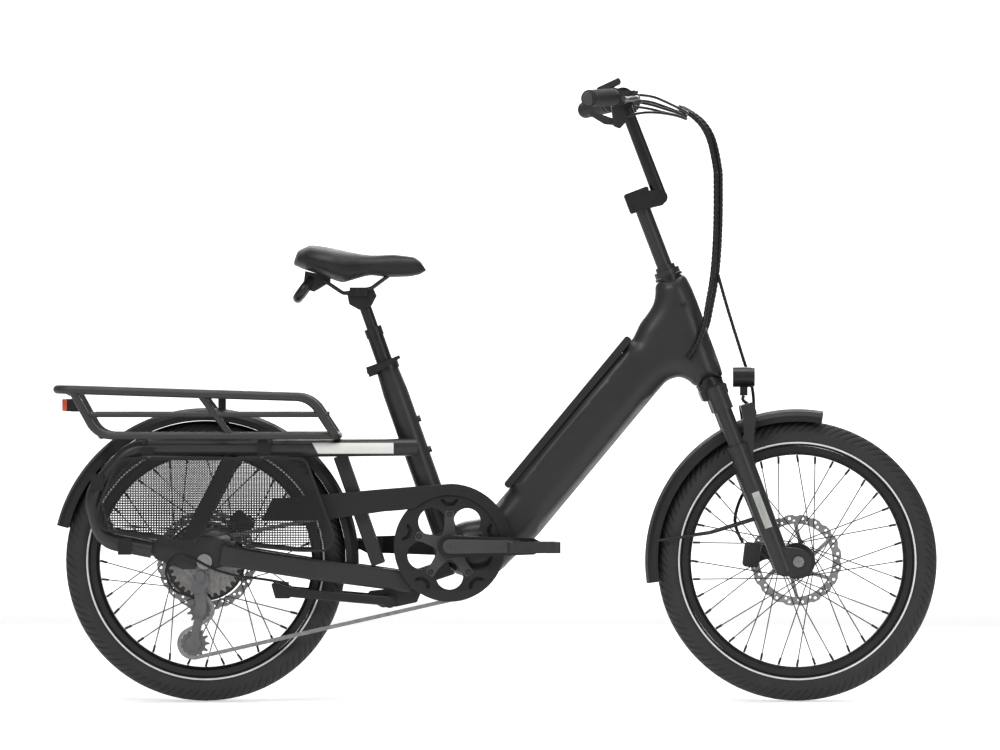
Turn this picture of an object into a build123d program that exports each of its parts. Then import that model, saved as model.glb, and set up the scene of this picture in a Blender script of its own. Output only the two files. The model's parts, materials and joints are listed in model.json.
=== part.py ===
from build123d import *
import math
import os

os.makedirs("parts", exist_ok=True)

# Cargo bicycle, in millimetres. X points forward, Z up, and the drive side is -Y.
# The origin is on the ground, midway between the rear end of the rack and the front of the front tyre.

# ---- wheels ----
WHEELBASE = 1090.0
TYRE_R = 258.0
TYRE_W = 55.0
TYRE_WALL = 4.0
RIM_R = 212.0
RIM_INNER_R = 195.5
RIM_W = 38.0
RIM_WALL = 3.5
SPOKES = 36
SPOKE_R = 1.0
NIPPLE_R = 2.2
NIPPLE_LENGTH = 13.0
RACK_BEHIND_AXLE = 277.5
RUNNING = 0.05          # radial clearance of a shaft or post in its bore
SEAT_GAP = 0.3          # space between pieces of different bodies

REAR_X = -(WHEELBASE + TYRE_R - RACK_BEHIND_AXLE) / 2
FRONT_X = REAR_X + WHEELBASE
AXLE_Z = TYRE_R

# ---- frame ----
BB_AHEAD = 449.6
BB_RISE = 28.2
HEAD_ANGLE = 21.0
SEAT_ANGLE = 19.5
RAKE = 33.0
HEAD_BOTTOM = 367.0
HEAD_TOP = 571.0
HEAD_R = 28.0
STEERER_R = 14.3
TUBE_HALF_W = 40.0
HEAD_HALF_W = 29.0
BB_SHELL_R = 26.0
BB_HALF_W = 36.5
SPINDLE_R = 12.0
SEAT_TUBE_R = 23.2
SEAT_TUBE_TOP = 342.0
BOSS_UPS = (180.0, 239.6)
BOSS_R = 6.0
BOSS_H = 5.0
BOSS_HOLE_R = 2.5
BOSS_HOLE_DEPTH = 11.0
LOWER_POST_R = 15.0
UPPER_POST_R = 11.0
LOOP_R = 15.9
LOOP_Y = 75.0
STAY_W = 22.0
STAY_H = 38.5
STAY_FRONT_Y = 31.0
STRUT_Y = 36.0
DROPOUT_Y = 67.0
DROPOUT_T = 10.0
RACK_Y = 105.0
GUARD_Y = 95.0
GUARD_T = 1.5

# ---- drive ----
CRANK_LENGTH = 155.0
CHAIN_Y = -51.0
CHAIN_PITCH = 12.7
RING_TEETH = 48
COG_TEETH = 18
GUIDE_TEETH = 11
TENSION_TEETH = 13
COG_STEP = 5.0
COG_TEETH_SET = (14, 16, 18, 21, 24, 28, 32)
PLATE_T = 1.6
CHAIN_HALF_H = 3.6
PIN_FREE = 40.0          # the chain has no pins this near a sprocket, where its teeth are
TOOTH_T = 1.9

# ---- steering and fork ----
BAR_AHEAD = 38.3
BOX_LOW = 706.0
BOX_HIGH = 744.0
STEERER_TOP = BOX_HIGH - 10.0
FOLD_UP = 716.0
BAR_UP = 910.0
BAR_R = 11.1
BAR_HALF_W = 320.0
GRIP_R = 16.0
GRIP_LENGTH = 120.0
LEG_Y = 75.0
LEG_R = 19.0
STANCHION_R = 15.0
STANCHION_AHEAD = 4.4
LEG_TOP = 240.0
CROWN_UP = 350.0
FORK_TRAVEL = 50.0
FENDER_FRONT_R = 280.0
FENDER_REAR_R = 282.0
FENDER_HALF_W = 33.0
FENDER_T = 1.6

# ---- saddle ----
SADDLE_HALF_W = 100.0
NOSE_HALF_W = 27.0


# ======== places ========
def rear(dx, dz, y=0.0):
    """A point given from the rear axle."""
    return Vector(REAR_X + dx, y, AXLE_Z + dz)


def front(dx, dz, y=0.0):
    """A point given from the front axle."""
    return Vector(FRONT_X + dx, y, AXLE_Z + dz)


BB = rear(BB_AHEAD, BB_RISE)


def bb(dx, dz, y=0.0):
    """A point given from the crank axis."""
    return Vector(BB.X + dx, y, BB.Z + dz)


HEAD_S = math.sin(math.radians(HEAD_ANGLE))
HEAD_C = math.cos(math.radians(HEAD_ANGLE))
SEAT_S = math.sin(math.radians(SEAT_ANGLE))
SEAT_C = math.cos(math.radians(SEAT_ANGLE))


def steer(ahead, up, y=0.0):
    """A point given ahead of the steering axis and up along it, from the front axle's level on it."""
    shift = ahead - RAKE
    return Vector(FRONT_X + shift * HEAD_C - up * HEAD_S, y, AXLE_Z + shift * HEAD_S + up * HEAD_C)


def seat(ahead, up, y=0.0):
    """A point given ahead of the seat tube's axis and up along it, from the crank axis."""
    return Vector(BB.X + ahead * SEAT_C - up * SEAT_S, y, BB.Z + ahead * SEAT_S + up * SEAT_C)


def polar(centre, radius, degrees, y):
    """A point on a circle in the side view; the angle runs from forward to up."""
    turn = math.radians(degrees)
    return Vector(centre.X + radius * math.cos(turn), y, centre.Z + radius * math.sin(turn))


# ======== shapes ========
def rod(a, b, radius, bore=0.0):
    """A round bar or tube from one point to another."""
    axis = Plane(origin=a, z_dir=(b - a).normalized())
    length = (b - a).length
    solid = Part() + Solid.make_cylinder(radius, length, axis)
    if bore:
        solid = solid - Solid.make_cylinder(bore, length, axis)
    return solid


def cone(a, b, radius_a, radius_b):
    axis = Plane(origin=a, z_dir=(b - a).normalized())
    return Part() + Solid.make_cone(radius_a, radius_b, (b - a).length, axis)


def disc(centre, radius, y0, y1, bore=0.0):
    """A round plate across the bicycle."""
    return rod(Vector(centre.X, y0, centre.Z), Vector(centre.X, y1, centre.Z), radius, bore)


def outline(points, y, corner=0.0):
    corners = [Vector(p.X, y, p.Z) for p in points]
    if corner:
        return FilletPolyline(*corners, radius=corner, close=True)
    return Polyline(*corners, close=True)


def plate(points, y0, y1, corner=0.0):
    """A plate whose side view is the outline, between two places across the bicycle."""
    face = Face(Wire(outline(points, y0, corner).edges()))
    return Part() + extrude(face, amount=abs(y1 - y0), dir=(0, 1 if y1 > y0 else -1, 0))


def band(points, half_widths, plane, depth=1000.0, corner=0.0):
    """A slab used to shape widths: stations along the plane's X with a half width at each."""
    upper = [(x, w) for x, w in zip(points, half_widths)]
    lower = [(x, -w) for x, w in reversed(upper)]
    line = Polyline(*(upper + lower), close=True)
    return extrude(plane * Face(Wire(line.edges())), amount=depth, both=True)


def pipe(points, radius, bend=None, bore=0.0):
    """A round tube along straight runs with rounded corners."""
    if len(points) == 2:
        return rod(points[0], points[1], radius, bore)
    if bend is None:
        radii = cord_radii(points)
    else:
        radii = [bend] * (len(points) - 2) if not isinstance(bend, (list, tuple)) else list(bend)
    path = FilletPolyline(*points, radius=radii)
    start = Plane(origin=path @ 0, z_dir=path % 0)
    section = start * Circle(radius)
    return Part() + sweep(section, path=path)


def cord_radii(points):
    """Corner radii for a cord: 0.45 of the shorter run over the tangent of half the turn."""
    radii = []
    for before, here, after in zip(points, points[1:], points[2:]):
        one = here - before
        two = after - here
        turn = math.radians(max(one.get_angle(two), 0.5))
        radii.append(0.45 * min(one.length, two.length) / math.tan(turn / 2))
    return radii


def ring_section(section, centre, start=0.0, end=360.0):
    """Turn a closed section of (radius, y) points round an axle, between two side-view angles."""
    turn = math.radians(start)
    out = Vector(math.cos(turn), 0, math.sin(turn))
    plane = Plane(origin=Vector(centre.X, 0, centre.Z), x_dir=out, z_dir=out.cross(Vector(0, 1, 0)))
    line = Polyline(*section, close=True)
    face = plane * Face(Wire(line.edges()))
    axis = Axis((centre.X, 0, centre.Z), (0, -1, 0))
    return Part() + revolve(face, axis=axis, revolution_arc=end - start)


def block(a, b):
    """A box between two opposite corners."""
    low = Vector(min(a.X, b.X), min(a.Y, b.Y), min(a.Z, b.Z))
    size = Vector(abs(a.X - b.X), abs(a.Y - b.Y), abs(a.Z - b.Z))
    return Part() + Solid.make_box(size.X, size.Y, size.Z, Plane(origin=low))


def save(name, *shapes):
    """Write each shape's solids as separate pieces of one named node."""
    solids = []
    for shape in shapes:
        solids += list(shape.solids())
    export_step(Compound(children=[Solid(s.wrapped) for s in solids]), f"parts/{name}.step")


# ======== wheels ========
def tyre(centre):
    middle = TYRE_R - TYRE_W / 2
    outer = []
    inner = []
    base = RIM_R + 0.05
    for radius, points in ((TYRE_W / 2, outer), (TYRE_W / 2 - TYRE_WALL, inner)):
        drop = math.degrees(math.asin((middle - base) / radius))
        for i in range(17):
            turn = math.radians(-drop + (180 + 2 * drop) * i / 16)
            points.append((middle + radius * math.sin(turn), radius * math.cos(turn)))
    return ring_section(outer + inner[::-1], centre)


def rim(centre):
    half = RIM_W / 2
    wall = half - RIM_WALL
    section = [
        (RIM_R, -half), (RIM_INNER_R + 6, -half), (RIM_INNER_R, -half + 7), (RIM_INNER_R, half - 7),
        (RIM_INNER_R + 6, half), (RIM_R, half), (RIM_R, wall), (RIM_INNER_R + 5, wall - 4),
        (RIM_INNER_R + 5, -wall + 4), (RIM_R, -wall),
    ]
    return ring_section(section, centre)


def spokes(centre, flange_r, flange_y, crossing):
    """Crossed spokes from both hub flanges, each with its nipple at the rim."""
    pieces = []
    for i in range(SPOKES):
        side = 1 if i % 2 == 0 else -1
        lean = crossing if (i // 2) % 2 == 0 else -crossing
        rim_turn = 360.0 * i / SPOKES
        start = polar(centre, flange_r + SPOKE_R + 0.1, rim_turn - lean, side * flange_y)
        end = polar(centre, RIM_INNER_R - 0.8, rim_turn, side * 5.0)
        seat_point = end + (start - end).normalized() * NIPPLE_LENGTH
        pieces.append(rod(start, seat_point, SPOKE_R) + rod(seat_point, end, NIPPLE_R))
    return pieces


def rotor(centre, radius, hub_r, y):
    """A brake disc: a wavy slotted ring on curved arms."""
    thick = 2.0
    ring = disc(centre, radius, y, y + thick, radius - 17)
    for i in range(20):
        turn = 18.0 * i
        ring = ring - disc(polar(centre, radius + 8.5, turn, y), 11.0, y, y + thick)
        ring = ring - disc(polar(centre, radius - 6.5, turn + 9, y), 2.6, y, y + thick)
        ring = ring - disc(polar(centre, radius - 11.5, turn + 3, y), 2.2, y, y + thick)
    middle = disc(centre, hub_r + 8, y, y + thick, hub_r)
    for i in range(6):
        inner = polar(centre, hub_r + 5, 60.0 * i, y)
        outer = polar(centre, radius - 12, 60.0 * i + 32, y)
        across = (outer - inner).normalized().cross(Vector(0, 1, 0)) * 3.5
        corners = [inner + across, outer + across, outer - across, inner - across]
        middle = middle + plate(corners, y, y + thick)
    return ring + middle


FRONT = front(0, 0)
REAR = rear(0, 0)
FRONT_AXLE_R = 6.0
REAR_AXLE_R = 7.0
FRONT_ROTOR_R = 84.5
FRONT_ROTOR_Y = 43.0
REAR_ROTOR_R = 92.6
REAR_ROTOR_Y = 50.0
HUB_HALF = 54.5
FLANGE_R = 33.0
FLANGE_Y = 27.0
MOTOR_R = 73.0
REAR_CALIPER_FACE = REAR_ROTOR_Y + 15.0


def front_hub():
    section = [
        (FRONT_AXLE_R + RUNNING, -HUB_HALF), (15, -HUB_HALF), (15, -32), (FLANGE_R, -30),
        (FLANGE_R, -24), (17, -20), (17, 20), (FLANGE_R, 24), (FLANGE_R, 30), (22, 33),
        (22, FRONT_ROTOR_Y), (17, FRONT_ROTOR_Y), (17, FRONT_ROTOR_Y + 3), (14, FRONT_ROTOR_Y + 3),
        (14, HUB_HALF), (FRONT_AXLE_R + RUNNING, HUB_HALF),
    ]
    return ring_section(section, FRONT)


def motor_hub():
    bore = REAR_AXLE_R + RUNNING
    section = [
        (bore, -29), (24, -29), (60, -28), (MOTOR_R - 4, -24), (MOTOR_R, -20), (MOTOR_R, -15),
        (MOTOR_R - 5, -12), (MOTOR_R - 5, 14), (MOTOR_R, 17), (MOTOR_R, 23), (MOTOR_R - 6, 28),
        (40, 38), (27, 42), (27, REAR_ROTOR_Y), (17, REAR_ROTOR_Y), (17, 60), (bore, 60),
    ]
    return ring_section(section, REAR)


save("front_tyre", tyre(FRONT))
save("front_rim", rim(FRONT))
save("front_spokes", *spokes(FRONT, FLANGE_R, FLANGE_Y, 58.0))
save("front_hub", front_hub())
save("front_rotor", rotor(FRONT, FRONT_ROTOR_R, 17.05, FRONT_ROTOR_Y))
save("rear_tyre", tyre(REAR))
save("rear_rim", rim(REAR))
save("rear_spokes", *spokes(REAR, MOTOR_R, 20.0, 30.0))
save("rear_hub_motor", motor_hub())
save("rear_rotor", rotor(REAR, REAR_ROTOR_R, 17.05, REAR_ROTOR_Y))
rear_axle = disc(REAR, REAR_AXLE_R, -88, 88)
for side in (-1, 1):
    rear_axle = rear_axle + disc(REAR, 14.0, side * (DROPOUT_Y + DROPOUT_T), side * 85.0)
save("rear_axle", rear_axle)


# ======== main frame ========
SEAM_START = bb(109.5, 104.2)
SEAM_END = steer(-104.2, 489.1)
SEAM = SEAM_END - SEAM_START
TUBE_DIR = SEAM.normalized()
TUBE_PLANE = Plane(origin=SEAM_START, x_dir=TUBE_DIR, z_dir=TUBE_DIR.cross(Vector(0, 1, 0)))
SEAM_LENGTH = SEAM.length
POCKET_START = 30.0
POCKET_END = SEAM_LENGTH - 30.0
POCKET_DEPTH = 66.0
POCKET_HALF_W = 28.0
POCKET_GAP = 1.0
COVER_T = 13.6
COVER_HALF_W = 34.0


def tube_box(x0, x1, z0, z1, half, corner=0.0):
    """A box laid along the down tube: X along the seam, Z out of the tube's upper face."""
    box = Box(x1 - x0, 2 * half, z1 - z0)
    if corner:
        box = fillet(box.edges().filter_by(Axis.Y), corner)
    return TUBE_PLANE * (Pos((x0 + x1) / 2, 0, (z0 + z1) / 2) * box)


def main_frame():
    points = [
        SEAM_START, SEAM_END, steer(-80, 513), steer(-61, 524), steer(-45, 536), steer(-35, 551),
        steer(-28, HEAD_TOP), steer(28, HEAD_TOP), steer(32, 548), steer(33, 512), steer(31, 452),
        steer(29.8, 381), steer(28, HEAD_BOTTOM), steer(-28, HEAD_BOTTOM), steer(-34, 382),
        steer(-47, 394.5), steer(-70, 397), steer(-96.5, 383.5), bb(154.8, 10.1), bb(119, -21),
        bb(95, -46), bb(76, -56), bb(40, -62), bb(0, -48), bb(-30, 10), bb(20, 44), bb(65, 51),
    ]
    body = plate(points, -TUBE_HALF_W, TUBE_HALF_W)
    edges = body.edges().filter_by(lambda e: abs((e @ 0).Y - (e @ 1).Y) < 0.01)
    body = chamfer(edges, 12.0)
    head_at = (steer(0, 450) - SEAM_START).dot(TUBE_DIR)
    stations = [-260.0, -90.0, 20.0, head_at - 190, head_at - 60, head_at + 200]
    widths = [BB_HALF_W, BB_HALF_W, TUBE_HALF_W, TUBE_HALF_W, HEAD_HALF_W, HEAD_HALF_W]
    body = body & band(stations, widths, TUBE_PLANE)
    body = body + rod(steer(0, HEAD_BOTTOM), steer(0, HEAD_TOP), HEAD_R)
    body = body + disc(BB, BB_SHELL_R, -BB_HALF_W, BB_HALF_W)
    body = body - rod(steer(0, HEAD_BOTTOM - 1), steer(0, HEAD_TOP + 1), 22.0)
    body = body - disc(BB, SPINDLE_R + 5.0, -60, 60)
    pocket = tube_box(POCKET_START, POCKET_END, -POCKET_DEPTH, 20, POCKET_HALF_W)
    return body - pocket


main = main_frame()


def battery():
    pack = tube_box(
        POCKET_START + POCKET_GAP, POCKET_END - POCKET_GAP, -POCKET_DEPTH + POCKET_GAP, 0.3,
        POCKET_HALF_W - POCKET_GAP,
    )
    cover = tube_box(0, SEAM_LENGTH - 0.5, SEAT_GAP, COVER_T, COVER_HALF_W, 5.0)
    return pack & tube_box(0, SEAM_LENGTH, -POCKET_DEPTH, SEAT_GAP, POCKET_HALF_W), cover


pack, cover = battery()
save("battery", pack, cover)


def seat_tube():
    """The tapered seat tube with a stepped bore for the lower seat post."""
    tube = rod(seat(0, 24), seat(0, 300), SEAT_TUBE_R)
    tube = tube + cone(seat(0, 300), seat(0, SEAT_TUBE_TOP), SEAT_TUBE_R, SEAT_TUBE_R - 2.7)
    for up in BOSS_UPS:
        tube = tube + rod(seat(SEAT_TUBE_R - 2, up), seat(SEAT_TUBE_R + BOSS_H, up), BOSS_R)
        hole_start = seat(SEAT_TUBE_R + BOSS_H - BOSS_HOLE_DEPTH, up)
        tube = tube - rod(hole_start, seat(SEAT_TUBE_R + 9, up), BOSS_HOLE_R)
    tube = tube - rod(seat(0, 60), seat(0, SEAT_TUBE_TOP + 1), LOWER_POST_R + RUNNING)
    return tube - main


seat_tube_solid = seat_tube()


# ======== rear frame ========
def loop_points(side):
    """The loop tube runs beside the seat tube, back along the wheel, and down to the dropout."""
    wide = side * LOOP_Y
    return [
        bb(-62, 181.5, side * 40.5), rear(205, 208.2, wide), rear(-134, 208.2, wide),
        rear(-208, 122, wide), rear(-186, 40, wide), rear(-96, 22, wide),
    ]


LOOP_BENDS = [160.0, 60.0, 50.0, 42.0]


def stay_bar(a, b, high, wide):
    """A rectangular bar between two points whose Y values may differ."""
    run = (b - a).normalized()
    across = Vector(0, 1, 0)
    up = run.cross(across).normalized()
    plane = Plane(origin=a, x_dir=run.cross(up), z_dir=run)
    section = plane * RectangleRounded(wide, high, min(high, wide) * 0.22)
    return Part() + extrude(section, amount=(b - a).length)


def rear_side(side):
    """One side's chainstay, dropout casting, seat stay strut and front strut."""
    inner = side * DROPOUT_Y
    outer = side * (DROPOUT_Y + DROPOUT_T)
    casting = plate([
        rear(-98, 38), rear(-92, 6), rear(-40, -14), rear(20, -13), rear(42, -6),
        rear(42, 32), rear(20, 44), rear(-20, 46), rear(-60, 42),
    ], inner, outer, 6.0)
    if side > 0:
        ears = [rear(16, 30), rear(40, 12), rear(80, 52), rear(82, 84), rear(52, 82)]
        casting = casting + plate(ears, REAR_CALIPER_FACE, REAR_CALIPER_FACE + 7)
    knee = rear(192, -13.6, side * 62.4)
    heel = bb(-72, -66.5, side * STAY_FRONT_Y)
    stay = stay_bar(rear(30, 12.5, side * 78), rear(200, -14.8, side * 61.8), STAY_H, STAY_W)
    stay = stay + stay_bar(knee, heel, STAY_H, STAY_W)
    stay = stay + stay_bar(heel - Vector(6, 0, -1), bb(4, -38, side * 24), STAY_H - 8, STAY_W - 4)
    rear_strut = stay_bar(rear(50, 192, side * LOOP_Y), rear(-28, 38, side * 72), 28.8, 16)
    front_strut = stay_bar(rear(248, 194, side * STRUT_Y), rear(318.6, -6, side * STRUT_Y), 25.4, 16)
    return casting, stay, rear_strut, front_strut


def rear_frame():
    loops = []
    stays = []
    axle_hole = disc(REAR, REAR_AXLE_R, -100, 100)
    for side in (-1, 1):
        loop = pipe(loop_points(side), LOOP_R, LOOP_BENDS)
        casting, stay, rear_strut, front_strut = rear_side(side)
        loop = loop - casting
        side_frame = (casting + stay + rear_strut + front_strut) - axle_hole - loop
        loops.append(loop - seat_tube_solid)
        stays.append(side_frame - main - seat_tube_solid)
    bridges = [
        rod(rear(292, -29, -46), rear(292, -29, 46), 9.0),
        rod(rear(283, 94, -STRUT_Y), rear(283, 94, STRUT_Y), 6.0),
        rod(rear(248, 204, -66), rear(248, 204, 66), 8.0),
    ]
    bridges = [b - stays[0] - stays[1] - loops[0] - loops[1] for b in bridges]
    return loops, stays, bridges


loops, stays, bridges = rear_frame()
save("main_frame", main)
save("seat_tube", seat_tube_solid)
save("rear_loops", *loops)
save("chainstays", *stays, *bridges)


# ======== rack and wheel guards ========
def rack():
    """Top rails, lower rails, struts and cross bars of the load carrier, welded into one frame."""
    body = None
    for side in (-1, 1):
        wide = side * RACK_Y
        top = pipe([
            rear(-RACK_BEHIND_AXLE + 8, 316.2, 0), rear(-RACK_BEHIND_AXLE + 8, 316.2, wide),
            rear(194.3, 301.7, wide), rear(240, 232.7, wide),
        ], 8.0, [24.0, 50.0])
        lower = pipe([
            rear(-240.8, 312.5, wide), rear(-196, 231.2, wide), rear(243.8, 231.2, wide),
            rear(243.8, 231.2, 0),
        ], 7.0, [45.0, 30.0])
        middle = rod(rear(-207.8, 270, wide), rear(226, 270, wide), 5.0)
        strut = rod(rear(-8.6, 308.7, wide), rear(47.4, 233.6, wide), 6.0)
        one = top + lower + middle + strut
        body = one if body is None else body + one
    for along in (-130.0, 30.0, 150.0):
        rise = 308.0 - 0.036 * (along + 10)
        body = body + rod(rear(along, rise, -RACK_Y), rear(along, rise, RACK_Y), 6.0)
    body = body + rod(rear(-188, 231.2, -RACK_Y), rear(-188, 231.2, RACK_Y), 6.0)
    for along in (-110.0, 120.0):
        for side in (-1, 1):
            foot = rod(rear(along, 231.2, side * RACK_Y), rear(along, 214, side * (LOOP_Y + 8)), 6.0)
            body = body + foot
    return body


rack_solid = rack()
for loop in loops:
    rack_solid = rack_solid - loop
save("rack", rack_solid)

STRAP_T = 6.6
STRAP_GAP = 0.2

GUARD_OUTLINE = [
    (-146, 192), (180, 192), (190, 184), (242, 44), (226, 18), (173, 18), (78, 28), (54, 40),
    (34, 56), (14, 58), (-2, 48), (-18, 36), (-30, 33), (-186, 56), (-201, 76), (-198, 96),
    (-164, 180),
]


def guard(side):
    points = [rear(x, z) for x, z in GUARD_OUTLINE]
    y0 = side * GUARD_Y
    y1 = side * (GUARD_Y + GUARD_T)
    sheet = plate(points, y0, y1)
    edge = pipe([
        Vector(p.X, side * (GUARD_Y + GUARD_T / 2), p.Z) for p in points[-2:] + points[:4]
    ], 2.4, 5.0)
    return sheet + edge


def strap(at, y, tall, wide=24.0):
    """A rubber strap that holds the wheel guard to a frame tube."""
    low = rear(at[0] - wide / 2, at[1] - tall / 2, y - STRAP_T / 2)
    high = rear(at[0] + wide / 2, at[1] + tall / 2, y + STRAP_T / 2)
    return block(low, high)


guards = [guard(-1), guard(1)]
save("wheel_guards", *guards)
STRAPS = [(-104.0, 203.5, 13.0), (110.0, 219.0, 44.0), (-196.0, 146.0, 30.0), (-146.0, 28.0, 30.0)]
straps = []
for side in (-1, 1):
    for along, up, tall in STRAPS:
        piece = strap((along, up), side * (LOOP_Y + LOOP_R + STRAP_GAP + STRAP_T / 2), tall)
        for other in guards + [rack_solid]:
            piece = piece - other
        straps.append(piece.solids().sort_by(SortBy.VOLUME)[-1])
save("guard_straps", *[Part() + s for s in straps])


# ======== fenders ========
def fender_section(outer):
    drop = 23.0
    half = FENDER_HALF_W
    line = [
        (outer - drop, -half), (outer - 12, -half + 1), (outer - 4.5, -half + 7), (outer, -half + 20),
        (outer, half - 20), (outer - 4.5, half - 7), (outer - 12, half - 1), (outer - drop, half),
    ]
    inner = [(r - FENDER_T, y * (half - FENDER_T) / half) for r, y in line]
    inner[0] = (outer - drop, inner[0][1])
    inner[-1] = (outer - drop, inner[-1][1])
    return line + inner[::-1]


rear_fender = ring_section(fender_section(FENDER_REAR_R), REAR, -5.0, 166.5)
fender_post = block(rear(23, 279, -8), rear(37, 304, 8))
rear_tab = rod(polar(REAR, FENDER_REAR_R - 1, 18.4, 0), polar(REAR, 294.0, 18.4, 0), 7.0)
rear_fender = rear_fender + fender_post + rear_tab
rear_fender = rear_fender - bridges[1] - rack_solid
save("rear_fender", rear_fender)


# ======== tail light ========
TAIL = rear(-243.8, 287.0)
tail_body = block(Vector(TAIL.X - 7, -22, TAIL.Z - 12), Vector(TAIL.X + 15, 22, TAIL.Z + 12))
tail_body = fillet(tail_body.edges().filter_by(Axis.Y), 4.0)
tail_lens = block(Vector(TAIL.X - 15, -21, TAIL.Z - 11.5), Vector(TAIL.X - 7, 21, TAIL.Z + 11.5))
tail_lens = fillet(tail_lens.edges().filter_by(Axis.Y).sort_by(Axis.X)[:2], 3.5)
tail_arm = plate([
    Vector(TAIL.X + 4, 0, TAIL.Z + 12), Vector(TAIL.X + 12, 0, TAIL.Z + 12),
    Vector(TAIL.X - 14, 0, TAIL.Z + 24), Vector(TAIL.X - 22, 0, TAIL.Z + 24),
], -6, 6)
tail_arm = tail_arm - rack_solid
save("tail_light", tail_body, tail_lens, tail_arm)


# ======== headset, fork and steering ========
CUP_R = 26.0
cups = rod(steer(0, HEAD_TOP), steer(0, HEAD_TOP + 5), CUP_R, STEERER_R + 0.4)
cups_low = rod(steer(0, HEAD_BOTTOM - 4), steer(0, HEAD_BOTTOM), CUP_R, STEERER_R + 0.4)
inner_cups = rod(steer(0, HEAD_BOTTOM), steer(0, HEAD_TOP), 21.95, STEERER_R + 0.4)
save("headset_cups", cups + cups_low + inner_cups)

CROWN_BASE = CROWN_UP - 15
CROWN_TOP = HEAD_BOTTOM - 4 - SEAT_GAP


SLEEVE_R = 19.0
SLEEVE_ROOM = 18.0      # from the compressed legs' top to the crown's sleeves, clear of the fender cheeks


def fork_crown():
    body = rod(steer(0, CROWN_BASE), steer(0, STEERER_TOP), STEERER_R)
    body = body + rod(steer(0, CROWN_TOP - 8), steer(0, CROWN_TOP), 25.0)
    body = body + rod(steer(0, HEAD_TOP + 5 + SEAT_GAP), steer(0, HEAD_TOP + 16), 24.0)
    body = body + rod(steer(0, HEAD_TOP + 16), steer(0, HEAD_TOP + 24), 18.5)
    bar = plate([
        steer(-24, CROWN_BASE), steer(25, CROWN_BASE), steer(27, CROWN_BASE + 20),
        steer(18, CROWN_TOP - 6), steer(-18, CROWN_TOP - 6), steer(-25, CROWN_BASE + 20),
    ], -LEG_Y, LEG_Y, 4.0)
    body = body + bar
    for side in (-1, 1):
        y = side * LEG_Y
        at = STANCHION_AHEAD
        sleeve_low = steer(at, LEG_TOP + FORK_TRAVEL + SLEEVE_ROOM, y)
        body = body + rod(sleeve_low, steer(at, CROWN_TOP - 8, y), SLEEVE_R)
        body = body + rod(steer(at, 92, y), steer(at, CROWN_TOP - 8, y), STANCHION_R)
    return body


save("fork_crown", fork_crown())


CALIPER_FACE = FRONT_ROTOR_Y + 1 + 11.5
CALIPER_MOUNT_T = 8.0
STANCHION_FOOT = 35.0     # how far up the legs' bores start


def fork_lowers():
    body = None
    for side in (-1, 1):
        y = side * LEG_Y
        at = STANCHION_AHEAD
        leg = cone(steer(at, -10, y), steer(at, 150, y), LEG_R - 2, LEG_R)
        leg = leg + rod(steer(at, 150, y), steer(at, LEG_TOP, y), LEG_R)
        leg = leg + rod(steer(at, LEG_TOP - 14, y), steer(at, LEG_TOP, y), LEG_R + 1.2)
        inner = side * (HUB_HALF + SEAT_GAP)
        outer = side * (LEG_Y + 14)
        foot = plate([
            steer(-10, -14), steer(20, -22), steer(45, -20), steer(56, 0), steer(46, 20), steer(10, 40),
        ], inner, outer, 9.0)
        boss = disc(FRONT, 23.5, inner, outer)
        leg = leg + foot + boss
        cheek = plate([
            steer(-8, 205), steer(20, 200), steer(36, 236), steer(60, 284), steer(60, 303),
            steer(37, 305), steer(33, 285), steer(24, 255), steer(6, 236),
        ], side * (LEG_Y - 7), side * (LEG_Y + 7))
        leg = leg + cheek
        body = leg if body is None else body + leg
    mount_outline = [steer(0, 62), steer(0, 18), steer(-42, 24), steer(-46, 50)]
    mount = plate(mount_outline, CALIPER_FACE, CALIPER_FACE + CALIPER_MOUNT_T)
    body = body + mount
    bridge_points = [steer(37, 286), steer(60, 286), steer(60, 303), steer(38, 305)]
    body = body + plate(bridge_points, -LEG_Y, LEG_Y)
    for y in (-LEG_Y, LEG_Y):
        foot = steer(STANCHION_AHEAD, STANCHION_FOOT, y)
        bore = rod(foot, steer(STANCHION_AHEAD, LEG_TOP + 90, y), STANCHION_R + RUNNING)
        body = body - bore
    return body - disc(FRONT, FRONT_AXLE_R, -120, 120)


lowers = fork_lowers()
save("fork_lowers", lowers)
front_axle = disc(FRONT, FRONT_AXLE_R, -LEG_Y - 14, LEG_Y + 14)
front_axle = front_axle + disc(FRONT, 10.0, -LEG_Y - 19, -LEG_Y - 14)
front_axle = front_axle + disc(FRONT, 9.0, LEG_Y + 14, LEG_Y + 20)
save("front_axle", front_axle)


def caliper(centre, turn, rotor_y, length, tall, deep_out, deep_in):
    """A brake caliper across the edge of its disc."""
    box = Box(length, deep_out + deep_in, tall)
    box = fillet(box.edges().filter_by(Axis.Y), min(length, tall) * 0.22)
    spot = Pos(centre.X, rotor_y + 1 + (deep_out - deep_in) / 2, centre.Z)
    return spot * Rot(0, -turn, 0) * box


def front_caliper():
    spot = polar(FRONT, 83.0, 173.0, 0)
    body = caliper(spot, 83.0, FRONT_ROTOR_Y, 46, 30, 11.5, 12)
    slot = disc(FRONT, FRONT_ROTOR_R + 4, FRONT_ROTOR_Y - 1.5, FRONT_ROTOR_Y + 3.5)
    return Part() + (body - slot - lowers)


front_caliper_solid = front_caliper().solids().sort_by(SortBy.VOLUME)[-1]
save("front_caliper", Part() + front_caliper_solid)

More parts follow.
